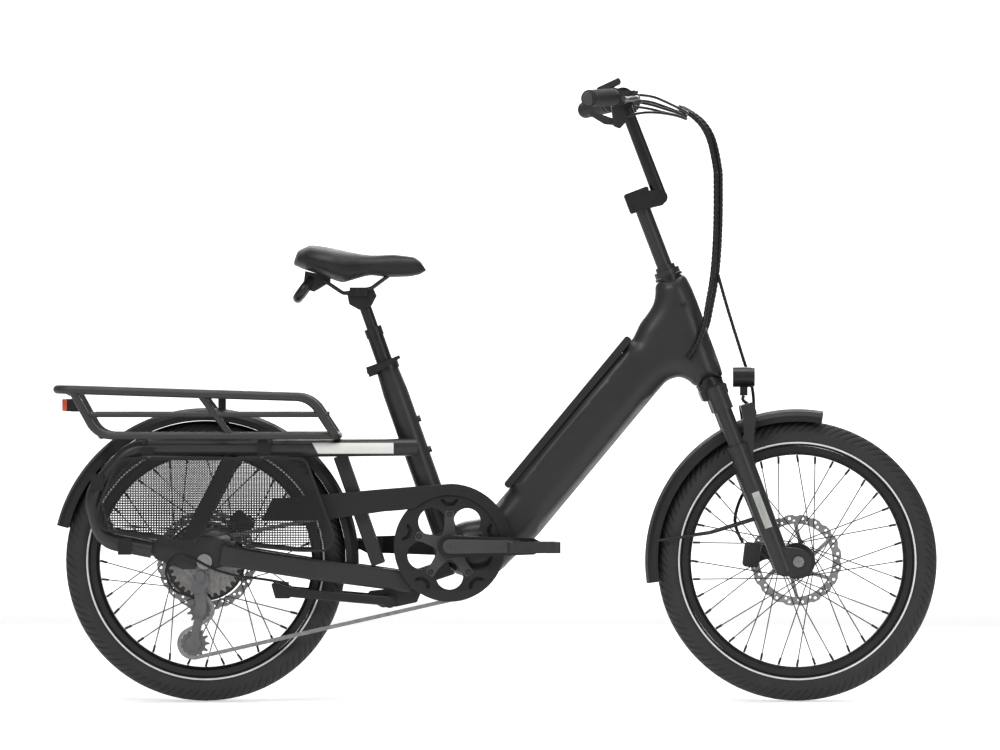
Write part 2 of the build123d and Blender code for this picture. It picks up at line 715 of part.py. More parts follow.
front_fender = ring_section(fender_section(FENDER_FRONT_R), FRONT, 80.0, 188.5)
fender_tab = rod(polar(FRONT, FENDER_FRONT_R - 1, 108.0, 0), polar(FRONT, FENDER_FRONT_R + 9, 108.0, 0), 7.0)
front_fender = front_fender + fender_tab - lowers
fender_stays = []
for side in (-1, 1):
    y = side * (FENDER_HALF_W + 2.5)
    low = polar(FRONT, FENDER_FRONT_R - 14, 172.0, side * FENDER_HALF_W)
    wire = pipe([
        low, Vector(FRONT_X - 160, side * 44, AXLE_Z + 52), steer(-8, 100, side * 63),
    ], 2.5, 60.0)
    fender_stays.append(wire - lowers - front_fender)
save("front_fender", front_fender, *[Part() + s.solids().sort_by(SortBy.VOLUME)[-1] for s in fender_stays])

LIGHT = steer(62.9, 351.4)
light_body = rod(Vector(LIGHT.X - 20, 0, LIGHT.Z), Vector(LIGHT.X + 14, 0, LIGHT.Z), 18.5)
light_lens = rod(Vector(LIGHT.X + 14, 0, LIGHT.Z), Vector(LIGHT.X + 20, 0, LIGHT.Z), 17.5)
light_ear = block(Vector(LIGHT.X - 7, -5, LIGHT.Z - 34), Vector(LIGHT.X + 7, 5, LIGHT.Z - 16))
light_ear = light_ear - light_body
light_wire = pipe([
    Vector(LIGHT.X, 0, LIGHT.Z - 34), Vector(LIGHT.X - 3, 0, LIGHT.Z - 42), steer(52, 303, 0),
], 3.0, 6.0)
light_wire = light_wire - lowers
save("headlight", light_body, light_lens, light_ear, Part() + light_wire.solids().sort_by(SortBy.VOLUME)[-1])



def stem_box():
    """The clamp block at the steerer's top, with the fold's hinge cheeks in front."""
    body = plate([
        steer(-24.4, BOX_LOW), steer(18, BOX_LOW), steer(24, BOX_HIGH), steer(-24.4, BOX_HIGH),
    ], -24, 24, 4.0)
    for side in (-1, 1):
        cheek = plate([
            steer(0, BOX_LOW), steer(BAR_AHEAD, FOLD_UP - 15), steer(BAR_AHEAD + 13, FOLD_UP),
            steer(BAR_AHEAD, FOLD_UP + 14), steer(8, BOX_HIGH - 4),
        ], side * 18.3, side * 24, 4.0)
        body = body + cheek
    body = body + disc(steer(BAR_AHEAD, FOLD_UP), 5.0, -26, 26)
    return body - rod(steer(0, BOX_LOW - 1), steer(0, STEERER_TOP), STEERER_R)


save("stem_box", stem_box())


def stem_arm():
    """The folding arm from the hinge barrel up to the bar clamp."""
    low = steer(BAR_AHEAD, FOLD_UP)
    high = steer(BAR_AHEAD, BAR_UP)
    arm = disc(low, 13.0, -18, 18)
    plane = Plane(origin=steer(BAR_AHEAD, FOLD_UP + 4), x_dir=(0, 1, 0), z_dir=(high - low).normalized())
    top = Plane(origin=steer(BAR_AHEAD, BAR_UP - 10), x_dir=(0, 1, 0), z_dir=(high - low).normalized())
    arm = arm + loft([plane * RectangleRounded(34, 25, 9), top * RectangleRounded(34, 23, 9)])
    arm = arm + disc(high, 21.0, -22, 22)
    arm = arm - disc(high, 15.9, -40, 40)
    return arm - disc(low, 5.0 + RUNNING, -30, 30)


save("stem_arm", stem_arm())

BAR_TIP = steer(BAR_AHEAD - 65.2, BAR_UP + 13.9)
GRIP_INNER = steer(BAR_AHEAD - 21.5, BAR_UP + 4.8)


def bar_point(tip, y):
    return Vector(tip.X, y, tip.Z)


def handlebar():
    centre = steer(BAR_AHEAD, BAR_UP)
    inner_y = BAR_HALF_W - GRIP_LENGTH
    bar = disc(centre, 15.9, -32, 32)
    for side in (-1, 1):
        bar = bar + pipe([
            centre, bar_point(centre, side * 70), bar_point(GRIP_INNER, side * inner_y),
            bar_point(BAR_TIP, side * BAR_HALF_W),
        ], BAR_R, [150.0, 150.0])
    return bar


bar_solid = handlebar()
save("handlebar", bar_solid)
grips = []
for side in (-1, 1):
    inner = bar_point(GRIP_INNER, side * (BAR_HALF_W - GRIP_LENGTH))
    tip = bar_point(BAR_TIP, side * BAR_HALF_W)
    run = (tip - inner).normalized()
    grip = rod(inner + run * 6, tip + run * 4, GRIP_R)
    grips.append(grip - bar_solid)
save("grips", *grips)

LEVER_Y = 172.0
UP_DIR = Vector(-HEAD_S, 0, HEAD_C)


def on_bar(y):
    """The handlebar's centre line between the middle bend and the grip."""
    centre = steer(BAR_AHEAD, BAR_UP)
    share = (abs(y) - 70) / (BAR_HALF_W - GRIP_LENGTH - 70)
    x = centre.X + (GRIP_INNER.X - centre.X) * share
    z = centre.Z + (GRIP_INNER.Z - centre.Z) * share
    return Vector(x, y, z)


def brake_mount(side):
    """A clamp on the bar with the fluid reservoir in front of it."""
    at = on_bar(side * LEVER_Y)
    body = disc(at, 17.0, side * (LEVER_Y - 9), side * (LEVER_Y + 9))
    low = Vector(at.X + 10, side * (LEVER_Y - 45), at.Z - 7)
    high = Vector(at.X + 42, side * (LEVER_Y + 10), at.Z + 12)
    body = body + fillet(block(low, high).edges().filter_by(Axis.Y), 6.0)
    pivot = lever_pivot(side)
    gap = rod(pivot - UP_DIR * 6.4, pivot + UP_DIR * 6.4, 18.0)
    pin = rod(pivot - UP_DIR * 16, pivot + UP_DIR * 14, 3.0)
    yoke = rod(pivot - UP_DIR * 13, pivot + UP_DIR * 11, 8.0)
    body = body + yoke
    return (body - gap + pin) - bar_solid


def lever_pivot(side):
    at = on_bar(side * LEVER_Y)
    return Vector(at.X + 38, side * (LEVER_Y + 14), at.Z - 1)


def brake_lever(side):
    """A curved two-finger blade in front of the grip."""
    pivot = lever_pivot(side)
    blade = pipe([
        pivot + Vector(2, 0, 0), pivot + Vector(1, side * 42, -2), pivot + Vector(-18, side * 88, -6),
        pivot + Vector(-24, side * 122, -5),
    ], 4.6, [60.0, 60.0])
    blade = blade + rod(pivot - UP_DIR * 4.6, pivot + UP_DIR * 4.6, 8.0)
    return blade - rod(pivot - UP_DIR * 20, pivot + UP_DIR * 20, 3.0 + RUNNING)


save("brake_lever_right", brake_lever(-1))
save("brake_lever_left", brake_lever(1))

SHIFT_Y = -138.0
SHIFT_AT = on_bar(SHIFT_Y)
SHIFT_PIVOT = Vector(SHIFT_AT.X - 2, SHIFT_Y, SHIFT_AT.Z - 46)


def shifter_body():
    at = SHIFT_AT
    ring = disc(at, 16.0, SHIFT_Y - 6, SHIFT_Y + 6)
    body = plate([
        Vector(at.X - 12, 0, at.Z - 14), Vector(at.X + 10, 0, at.Z - 14), Vector(at.X + 16, 0, at.Z - 44),
        Vector(at.X + 4, 0, at.Z - 57), Vector(at.X - 8, 0, at.Z - 52),
    ], SHIFT_Y - 16, SHIFT_Y + 16, 4.0)
    slot = disc(SHIFT_PIVOT, 15.0, SHIFT_Y - 5, SHIFT_Y + 5)
    pin = disc(SHIFT_PIVOT, 2.5, SHIFT_Y - 12, SHIFT_Y + 12)
    return ((ring + body) - slot + pin) - bar_solid


def shift_paddle():
    at = SHIFT_PIVOT
    body = disc(at, 7.0, SHIFT_Y - 4.5, SHIFT_Y + 4.5)
    body = body + plate([
        Vector(at.X + 2, 0, at.Z - 5), Vector(at.X - 22, 0, at.Z - 3), Vector(at.X - 50, 0, at.Z + 14),
        Vector(at.X - 48, 0, at.Z + 24), Vector(at.X - 36, 0, at.Z + 18), Vector(at.X - 4, 0, at.Z + 7),
    ], SHIFT_Y - 4.5, SHIFT_Y + 4.5)
    return body - disc(at, 2.5 + RUNNING, SHIFT_Y - 20, SHIFT_Y + 20)


def display():
    centre = steer(BAR_AHEAD, BAR_UP)
    panel = Pos(centre.X - 26, 0, centre.Z + 24) * Rot(0, -25, 0) * Box(46, 74, 11)
    panel = fillet(panel.edges().filter_by(Axis.Y), 3.0)
    arm = plate([
        Vector(centre.X - 34, 0, centre.Z + 20), Vector(centre.X - 16, 0, centre.Z + 24),
        Vector(centre.X - 6, 0, centre.Z + 12), Vector(centre.X - 14, 0, centre.Z + 6),
    ], 34, 44)
    ring = disc(centre, 17.0, 34, 44)
    return (ring + arm + panel) - bar_solid


save("shift_paddle", shift_paddle())
save("bar_controls", brake_mount(-1), brake_mount(1), shifter_body(), display())


# ======== seat ========
CLAMP_H = 19.0
clamp_base = SEAT_TUBE_TOP
post_hole = rod(seat(0, clamp_base - 5), seat(0, clamp_base + 40), LOWER_POST_R + RUNNING)
clamp = rod(seat(0, clamp_base), seat(0, clamp_base + CLAMP_H), 23.5)
clamp = clamp + plate([
    seat(-14, clamp_base), seat(-36, clamp_base), seat(-36, clamp_base + CLAMP_H),
    seat(-14, clamp_base + CLAMP_H),
], -11, 11)
clamp = clamp + rod(seat(-29, clamp_base + 9.5, -26), seat(-29, clamp_base + 9.5, 20), 3.0)
clamp = clamp - post_hole
save("seat_clamp", clamp)
LEVER_AXIS = seat(-29, clamp_base + 9.5)


def seat_lever():
    """The quick-release lever on the clamp's bolt, folded forward along the right side."""
    boss = disc(LEVER_AXIS, 8.0, -24, -11 - SEAT_GAP)
    blade = plate([
        seat(-36, clamp_base + 5), seat(-23, clamp_base + 2), seat(30, clamp_base + 14),
        seat(30, clamp_base + 20), seat(-23, clamp_base + 17), seat(-36, clamp_base + 14),
    ], -30, -24.5)
    boss = boss + disc(LEVER_AXIS, 8.0, -30, -24)
    return (boss + blade) - disc(LEVER_AXIS, 3.0 + RUNNING, -26 - SEAT_GAP, 30)


save("seat_lever", seat_lever())
COLLAR_UP = 409.0
COLLAR_H = 17.0
lower_post = rod(seat(0, 180), seat(0, COLLAR_UP), LOWER_POST_R)
lower_post = lower_post + rod(seat(0, COLLAR_UP), seat(0, COLLAR_UP + COLLAR_H), 16.6)
lower_post = lower_post - rod(seat(0, 260), seat(0, COLLAR_UP + 30), UPPER_POST_R + RUNNING)
save("lower_seatpost", lower_post)

SADDLE_UP = 473.0
upper_post = rod(seat(0, 320), seat(0, SADDLE_UP), UPPER_POST_R)
head = plate([
    seat(-26, SADDLE_UP + 8), seat(-12, SADDLE_UP - 8), seat(12, SADDLE_UP - 8), seat(27, SADDLE_UP + 6),
    seat(25, SADDLE_UP + 26), seat(-23, SADDLE_UP + 28),
], -17, 17, 3.0)
RAIL_Y = 22.0
RAIL_R = 3.5


def rail_points(side):
    return [
        seat(-55, SADDLE_UP + 65, side * 30), seat(-29, SADDLE_UP + 30, side * RAIL_Y),
        seat(22, SADDLE_UP + 22, side * RAIL_Y), seat(64, SADDLE_UP + 35, side * 14),
    ]


rails = [pipe(rail_points(side), RAIL_R, [14.0, 22.0]) for side in (-1, 1)]
for side in (-1, 1):
    head = head + block(seat(-20, SADDLE_UP + 22, side * 15), seat(16, SADDLE_UP + 26, side * 27))
for rail in rails:
    head = head - rail
save("upper_seatpost", upper_post + head)


def saddle_point(px, pz):
    """A point given from the seat tube's axis where the saddle is carried."""
    base = seat(0, SADDLE_UP)
    return Vector(base.X + px, 0, base.Z + pz)


def saddle():
    points = [
        (-128, 73), (-125, 96), (-98, 110), (-35, 99), (15, 92), (55, 93), (94, 88), (115, 63),
        (85, 50), (44, 48.5), (11, 52), (-41, 38), (-72, 52), (-112, 66),
    ]
    body = plate([saddle_point(x, z) for x, z in points], -SADDLE_HALF_W, SADDLE_HALF_W)
    plane = Plane(origin=saddle_point(0, 0), x_dir=(1, 0, 0), z_dir=(0, 0, 1))
    stations = [-130.0, -122.0, -90.0, -50.0, 0.0, 50.0, 100.0, 117.0]
    widths = [
        SADDLE_HALF_W * 0.78, SADDLE_HALF_W * 0.9, SADDLE_HALF_W, SADDLE_HALF_W * 0.78,
        SADDLE_HALF_W * 0.46, NOSE_HALF_W * 1.2, NOSE_HALF_W, NOSE_HALF_W * 0.5,
    ]
    body = body & band(stations, widths, plane)
    for rail in rails:
        body = body - rail
    return body


saddle_solid = saddle()
save("saddle", saddle_solid)
saddle_bracket = plate(
    [saddle_point(x, z) for x, z in [(-108, 60), (-112, 28), (-92, 22), (-62, 40), (-62, 50)]], -31, 31,
)
handle_tube = pipe([
    saddle_point(-96, 46) + Vector(0, -24, 0), saddle_point(-121, 12) + Vector(0, -44, 0),
    saddle_point(-123, 9) + Vector(0, 44, 0), saddle_point(-96, 46) + Vector(0, 24, 0),
], 9.0, [18.0, 18.0])
saddle_frame = saddle_bracket + handle_tube
for rail in rails:
    saddle_frame = saddle_frame + rail
saddle_frame = saddle_frame - saddle_solid
frame_piece = saddle_frame.solids().sort_by(SortBy.VOLUME)[-1]
save("saddle_frame", Part() + frame_piece)


# ======== drive ========
RING_R = CHAIN_PITCH / 2 / math.sin(math.pi / RING_TEETH)
COG_R = CHAIN_PITCH / 2 / math.sin(math.pi / COG_TEETH)
GUIDE_R = CHAIN_PITCH / 2 / math.sin(math.pi / GUIDE_TEETH)
TENSION_R = CHAIN_PITCH / 2 / math.sin(math.pi / TENSION_TEETH)
GUIDE = rear(-8.0, -89.0)
TENSION = rear(-20.9, -150.7)


def sprocket(centre, teeth, y, bore, thick=TOOTH_T):
    """A toothed plate for the bicycle's chain."""
    pitch_r = CHAIN_PITCH / 2 / math.sin(math.pi / teeth)
    points = []
    for i in range(teeth):
        root, tip = pitch_r - 4, pitch_r + 3
        for share, radius in ((-0.32, root), (-0.1, tip), (0.1, tip), (0.32, root)):
            points.append(polar(centre, radius, 360.0 * (i + share) / teeth, 0))
    return plate(points, y - thick / 2, y + thick / 2) - disc(centre, bore, y - 20, y + 20)


GUARD_DISC_R = 102.3
GUARD_DISC_Y = CHAIN_Y - 9.0
BOLT_CIRCLE = 59.0


def chainring():
    ring = sprocket(BB, RING_TEETH, CHAIN_Y, 80.0)
    face = disc(BB, GUARD_DISC_R, GUARD_DISC_Y - 1.5, GUARD_DISC_Y + 1.5, SPINDLE_R + 6)
    spider = disc(BB, 27.0, GUARD_DISC_Y + 1.5, CHAIN_Y + 6, SPINDLE_R + 6)
    for i in range(5):
        turn = -90.0 + 72 * i
        face = face - disc(polar(BB, 54.0, turn, 0), 20.0, -90, -30)
        face = face - disc(polar(BB, 86.0, turn + 36, 0), 8.0, -90, -30)
        bolt = polar(BB, BOLT_CIRCLE, turn + 36, 0)
        outer = polar(BB, 84.0, turn + 36, 0)
        spider = spider + disc(bolt, 6.5, GUARD_DISC_Y + 1.5, CHAIN_Y + 4)
        arm = (outer - BB).normalized()
        across = arm.cross(Vector(0, 1, 0)) * 7.0
        start, end = BB + arm * 22, BB + arm * 84
        corners = [start + across, end + across, end - across, start - across]
        spider = spider + plate(corners, CHAIN_Y + 1.0, CHAIN_Y + 5.0)
    spider = spider - ring
    return ring, face, spider


save("chainring", *chainring())
ARM_IN = 70.0
ARM_OUT = 98.0


def crank_arm(side):
    """A crank arm that steps outward from the axle to the pedal eye."""
    reach = -side * CRANK_LENGTH
    points = [
        bb(0, 20), bb(reach, 15), bb(reach + (14 if reach > 0 else -14), 8),
        bb(reach + (14 if reach > 0 else -14), -8), bb(reach, -15), bb(0, -20),
    ]
    body = plate(points, side * ARM_IN, side * ARM_OUT) + disc(BB, 22.0, side * ARM_IN, side * 86)
    inner = Polyline(
        Vector(BB.X - 30 * math.copysign(1, reach), side * ARM_IN, BB.Z - 60),
        Vector(BB.X + reach * 0.25, side * ARM_IN, BB.Z - 60),
        Vector(BB.X + reach * 0.8, side * (ARM_OUT - 13), BB.Z - 60),
        Vector(BB.X + reach * 1.2, side * (ARM_OUT - 13), BB.Z - 60),
        Vector(BB.X + reach * 1.2, side * ARM_OUT, BB.Z - 60),
        Vector(BB.X + reach * 0.75, side * ARM_OUT, BB.Z - 60),
        Vector(BB.X + reach * 0.2, side * (ARM_IN + 16), BB.Z - 60),
        Vector(BB.X - 30 * math.copysign(1, reach), side * (ARM_IN + 16), BB.Z - 60),
        close=True,
    )
    shape = extrude(Face(Wire(inner.edges())), amount=120, dir=(0, 0, 1))
    return Part() + (body & shape)


crankset = crank_arm(-1) + crank_arm(1) + disc(BB, SPINDLE_R, -86, 86)
bb_bush = disc(BB, SPINDLE_R + 5.0, -BB_HALF_W, BB_HALF_W, SPINDLE_R + RUNNING)
crankset = crankset + disc(BB, SPINDLE_R + 5.9, GUARD_DISC_Y - 1.5, CHAIN_Y + 6)
crankset = crankset + disc(BB, SPINDLE_R + 5.9, -ARM_IN, GUARD_DISC_Y)
PEDAL_PIN_R = 7.0
for side in (-1, 1):
    eye = bb(-side * CRANK_LENGTH, 0)
    crankset = crankset - disc(eye, PEDAL_PIN_R + RUNNING, side * 60, side * 120)
save("crankset", crankset)
save("bottom_bracket", bb_bush)

FOLD_Y = 116.0
FOLD_PIN_R = 4.0
PEDAL_HALF_X = 48.0
PEDAL_HALF_Z = 10.0
PEDAL_OUT = 218.0


def pedal_core(side):
    """The spindle and hinge block of one folding pedal."""
    eye = bb(-side * CRANK_LENGTH, 0)
    core = disc(eye, PEDAL_PIN_R, side * (ARM_OUT - 12), side * 104)
    core = core + disc(eye, 10.0, side * (ARM_OUT + 0.6), side * 104)
    knuckle_low = Vector(eye.X - 14, side * 103, eye.Z - 6)
    core = core + block(knuckle_low, Vector(eye.X + 14, side * FOLD_Y, eye.Z + 6))
    hinge = Vector(eye.X, side * FOLD_Y, eye.Z)
    core = core + rod(hinge - Vector(14, 0, 0), hinge + Vector(14, 0, 0), 6.0)
    return core + rod(hinge - Vector(24, 0, 0), hinge + Vector(24, 0, 0), FOLD_PIN_R)


def pedal_platform(side):
    eye = bb(-side * CRANK_LENGTH, 0)
    hinge = Vector(eye.X, side * FOLD_Y, eye.Z)
    low = Vector(eye.X - PEDAL_HALF_X, side * (FOLD_Y + 10), eye.Z - PEDAL_HALF_Z)
    high = Vector(eye.X + PEDAL_HALF_X, side * PEDAL_OUT, eye.Z + PEDAL_HALF_Z)
    body = block(low, high)
    body = fillet(body.edges().filter_by(Axis.Z), 9.0)
    for dx in (-1, 1):
        window = block(
            Vector(eye.X + dx * 12, side * (FOLD_Y + 24), eye.Z - 20),
            Vector(eye.X + dx * (PEDAL_HALF_X - 9), side * (PEDAL_OUT - 12), eye.Z + 20),
        )
        body = body - window
        ear = block(
            Vector(eye.X + dx * 14.5, side * (FOLD_Y - 7), eye.Z - 7),
            Vector(eye.X + dx * 23.5, side * (FOLD_Y + 12), eye.Z + 7),
        )
        body = body + ear
    return body - rod(hinge - Vector(40, 0, 0), hinge + Vector(40, 0, 0), FOLD_PIN_R + RUNNING)


for side, name in ((-1, "right"), (1, "left")):
    save(f"pedal_core_{name}", pedal_core(side))
    save(f"pedal_{name}", pedal_platform(side))


def cassette():
    cogs = []
    for i, teeth in enumerate(COG_TEETH_SET):
        y = CHAIN_Y + COG_STEP * (i - COG_TEETH_SET.index(COG_TEETH))
        cogs.append(sprocket(REAR, teeth, y, 16.0))
    low = CHAIN_Y - COG_STEP * 2 - 3
    core = disc(REAR, 16.0, low, -29.3, REAR_AXLE_R + RUNNING)
    body = core
    for cog in cogs:
        body = body + cog
    return body + disc(REAR, 20.0, low - 0.5, low + 3, REAR_AXLE_R + RUNNING)


save("cassette", cassette())
CHAIN_STOPS = [(BB, RING_R, 1), (TENSION, TENSION_R, 1), (GUIDE, GUIDE_R, -1), (REAR, COG_R, 1)]


def chain_runs():
    """The tangent points of the chain's pitch line, wheel after wheel."""
    runs = []
    for i, (centre, radius, sign) in enumerate(CHAIN_STOPS):
        other, other_r, other_sign = CHAIN_STOPS[(i + 1) % len(CHAIN_STOPS)]
        gap = other - centre
        base = math.atan2(gap.Z, gap.X)
        share = (sign * radius - other_sign * other_r) / gap.length
        normal = base + math.acos(share)
        out = Vector(math.cos(normal), 0, math.sin(normal))
        runs.append((centre + out * (sign * radius), other + out * (other_sign * other_r)))
    return runs


def chain():
    """Two rows of side plates along the pitch line, with rollers on the straight runs."""
    runs = chain_runs()
    edges = []
    for i, (centre, radius, sign) in enumerate(CHAIN_STOPS):
        arrive = runs[i - 1][1]
        leave = runs[i][0]
        a0 = math.atan2(arrive.Z - centre.Z, arrive.X - centre.X)
        a1 = math.atan2(leave.Z - centre.Z, leave.X - centre.X)
        sweep_turn = (a0 - a1) % (2 * math.pi) if sign > 0 else (a1 - a0) % (2 * math.pi)
        middle = a0 - sign * sweep_turn / 2
        mid = polar(centre, radius, math.degrees(middle), 0)
        flat = [Vector(p.X, 0, p.Z) for p in (arrive, mid, leave)]
        edges.append(ThreePointArc(*flat))
        edges.append(Line(Vector(leave.X, 0, leave.Z), Vector(runs[i][1].X, 0, runs[i][1].Z)))
    wires = [e.edge() for e in edges]
    loop = Wire(wires)
    wide = Face(loop.offset_2d(CHAIN_HALF_H))
    thin = Face(loop.offset_2d(-CHAIN_HALF_H))
    if wide.area < thin.area:
        wide, thin = thin, wide
    strip = wide - thin
    pieces = []
    for y in (CHAIN_Y - 4.0, CHAIN_Y + 4.0 - PLATE_T):
        plate_strip = extrude(strip, amount=PLATE_T, dir=(0, 1, 0))
        pieces.append(Part() + Pos(0, y, 0) * plate_strip)
    pins = []
    for start, end in runs:
        length = (end - start).length
        along = (end - start) / length
        count = int((length - 2 * PIN_FREE) // CHAIN_PITCH)
        for k in range(max(count, 0)):
            at = start + along * (PIN_FREE + CHAIN_PITCH * k)
            pins.append(disc(at, 2.6, CHAIN_Y - 4.0 + PLATE_T, CHAIN_Y + 4.0 - PLATE_T))
    whole = pieces[0] + pieces[1]
    for pin in pins:
        whole = whole + pin
    return whole


save("chain", chain())


# ======== derailleur ========
CAGE_IN = CHAIN_Y + 5.2
CAGE_OUT = CHAIN_Y - 5.2
PULLEY_BORE = 4.0


def derailleur():
    cap = disc(rear(-7, -26), 8.8, -92, -80)
    hanger = plate([rear(-14, -8), rear(10, -8), rear(2, -34), rear(-16, -34)], -80, -77.3, 3.0)
    knuckle_outline = [rear(-23, -37), rear(8, -22), rear(8, -40), rear(-4, -58), rear(-24, -56)]
    knuckle = plate(knuckle_outline, -80, -62, 4.0)
    arm = plate([rear(-20, -52), rear(2, -44), rear(4, -88), rear(-14, -94)], -74, -60, 5.0)
    arm = arm + disc(GUIDE, 11.0, -74, CAGE_OUT - 1.5)
    body = cap + hanger + knuckle + arm
    for y0 in (CAGE_OUT - 1.5, CAGE_IN):
        along = (TENSION - GUIDE).normalized()
        across = along.cross(Vector(0, 1, 0)) * 8.0
        cage = plate([GUIDE + across, TENSION + across, TENSION - across, GUIDE - across], y0, y0 + 1.5)
        cage = cage + disc(GUIDE, 14.0, y0, y0 + 1.5) + disc(TENSION, 14.0, y0, y0 + 1.5)
        body = body + cage
    for centre in (GUIDE, TENSION):
        body = body + disc(centre, PULLEY_BORE, CAGE_OUT - 2, CAGE_IN + 2)
    return body - rear_axle


save("derailleur", derailleur())
save("guide_pulley", sprocket(GUIDE, GUIDE_TEETH, CHAIN_Y, PULLEY_BORE + RUNNING))
save("tension_pulley", sprocket(TENSION, TENSION_TEETH, CHAIN_Y, PULLEY_BORE + RUNNING))


# ======== chain cover ========
COVER_OUT = CHAIN_Y - 15.5
COVER_IN = CHAIN_Y - 12.7


def chain_cover():
    """A guard over the top run of the chain, from the ring's front round to the rear wheel."""
    arc = ring_section([
        (92, COVER_OUT), (115, COVER_OUT), (115, CHAIN_Y + 8), (112.6, CHAIN_Y + 8),
        (112.6, COVER_IN), (92, COVER_IN),
    ], BB, 8.0, 128.0)
    tail = plate([
        bb(-88, 74), bb(-8, 114.7), bb(-119, 104), bb(-224, 95), bb(-325, 87.5), bb(-344, 47),
        bb(-224, 48), bb(-125, 60),
    ], COVER_OUT, COVER_IN)
    lip = plate([
        bb(-8, 112.2), bb(-8, 114.7), bb(-119, 104), bb(-224, 95), bb(-325, 87.5), bb(-325, 85.1),
        bb(-224, 92.5), bb(-119, 101.5),
    ], COVER_IN, CHAIN_Y + 6.5)
    cover_body = arc + tail + lip
    tab = plate([bb(-72, 101), bb(-46, 101), bb(-46, 112), bb(-72, 112)], COVER_OUT, -20.0)
    return (cover_body + tab) - seat_tube_solid - main


chain_cover_solid = chain_cover()
save("chain_cover", Part() + chain_cover_solid.solids().sort_by(SortBy.VOLUME)[-1])


# ======== rear caliper, kickstand, cables ========
def rear_caliper():
    spot = polar(REAR, 96.0, 47.0, 0)
    body = caliper(spot, 47.0 - 90, REAR_ROTOR_Y, 44, 30, 14, 12)
    slot = disc(REAR, REAR_ROTOR_R + 4, REAR_ROTOR_Y - 1.5, REAR_ROTOR_Y + 3.5)
    body = Part() + (body - slot)
    for piece in stays:
        body = body - piece
    return Part() + body.solids().sort_by(SortBy.VOLUME)[-1]


save("rear_caliper", rear_caliper())
STAND_PIVOT = bb(-110.0, -102.3)
STAND_Y = 63.0
STAND_PIN_R = 6.0


def stand_bracket():
    body = plate([
        bb(-150, -84), bb(-70, -76), bb(-50, -80), bb(-60, -104), bb(-96, -112), bb(-124, -114),
        bb(-150, -100),
    ], -22, 22, 5.0)
    body = body + disc(STAND_PIVOT, 12.0, -40, 40)
    body = body - stays[0] - stays[1] - bridges[0] - main
    return body - disc(STAND_PIVOT, STAND_PIN_R + RUNNING, -60, 60)


def kickstand():
    body = disc(STAND_PIVOT, STAND_PIN_R, -STAND_Y, STAND_Y)
    for side in (-1, 1):
        y = side * STAND_Y
        body = body + disc(STAND_PIVOT, 9.5, side * 42, side * (STAND_Y + 5.5))
        leg = stay_bar(bb(-112, -101, y), bb(-294, -85, y), 17.0, 11.0)
        foot = plate([bb(-292, -96), bb(-292, -76), bb(-316, -68), bb(-328, -68), bb(-320, -96)],
                     side * (STAND_Y - 9), side * (STAND_Y + 5.5), 3.0)
        body = body + leg + foot
    return body


bracket = stand_bracket()
save("kickstand_bracket", Part() + bracket.solids().sort_by(SortBy.VOLUME)[-1])
save("kickstand", kickstand())
CABLE_R = 2.4

GEAR_HOUSING = [
    rear(-29, -62, -86), rear(-58, -54, -88), rear(-72, -22, -90), rear(-64, 2, -91), rear(-44, 13, -91),
    rear(-20, 6, -90), rear(17, -14, -89), rear(63, -27, -86), rear(103, -31, -82), rear(155, -40, -78),
]
gear_housing = pipe(GEAR_HOUSING, CABLE_R)
for piece in stays + [rear_axle, rear_caliper()]:
    gear_housing = gear_housing - piece
save("gear_housing", Part() + gear_housing.solids().sort_by(SortBy.VOLUME)[-1])

HARNESS_RIGHT = [
    steer(89.6, 893.4, -42), steer(116, 872, -34), steer(144, 842, -18), steer(160, 812, -8),
    steer(160, 766, -5.5), steer(150, 722, -5.5), steer(135, 682, -5.5), steer(116, 634, -6),
    steer(95.7, 587, -8), steer(72.3, 539.5, -14), steer(46, 497, -22), steer(26, 462, -32),
    steer(-3.5, 431, -36), steer(-22, 421, -34),
]
HARNESS_LEFT = [
    steer(89.6, 893.4, 42), steer(116, 872, 34), steer(144, 842, 18), steer(162, 812, 8),
    steer(163, 766, 5.5), steer(154, 722, 5.5), steer(139, 682, 5.5), steer(120, 634, 6),
    steer(99, 587, 8), steer(76, 539.5, 14), steer(49, 497, 22), steer(28, 462, 32),
    steer(-3.5, 431, 36), steer(-22, 421, 34),
]
FRONT_HOSE = [
    steer(88, 560, 8), steer(84, 520, 10), steer(80, 470, 14), steer(77, 420, 22), steer(74, 365, 36),
    steer(73, 325, 50), steer(58, 277, 92), steer(44, 236, 102), steer(26, 188, 100), steer(-4, 158, 90),
    steer(-34, 130, 78), steer(-52, 98, 67), steer(-47, 66, 49),
]
HARNESS_R = 4.8
HOSE_R = 3.2
cables = [pipe(HARNESS_RIGHT, HARNESS_R), pipe(HARNESS_LEFT, HARNESS_R), pipe(FRONT_HOSE, HOSE_R)]
trimmed = []
for cable in cables:
    cable = cable - main - lowers - (Part() + front_caliper_solid)
    trimmed.append(Part() + cable.solids().sort_by(SortBy.VOLUME)[-1])
save("control_cables", *trimmed)
for route in (HARNESS_RIGHT, FRONT_HOSE):
    print("cord radii", [round(r, 1) for r in cord_radii(route)])
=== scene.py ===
"""Looks for the compact cargo bicycle.

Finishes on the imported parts, and detailed pieces that stand for some of them.
"""
import json
import math

import bmesh
import bpy
from mathutils import Matrix, Vector
from mathutils.geometry import delaunay_2d_cdt


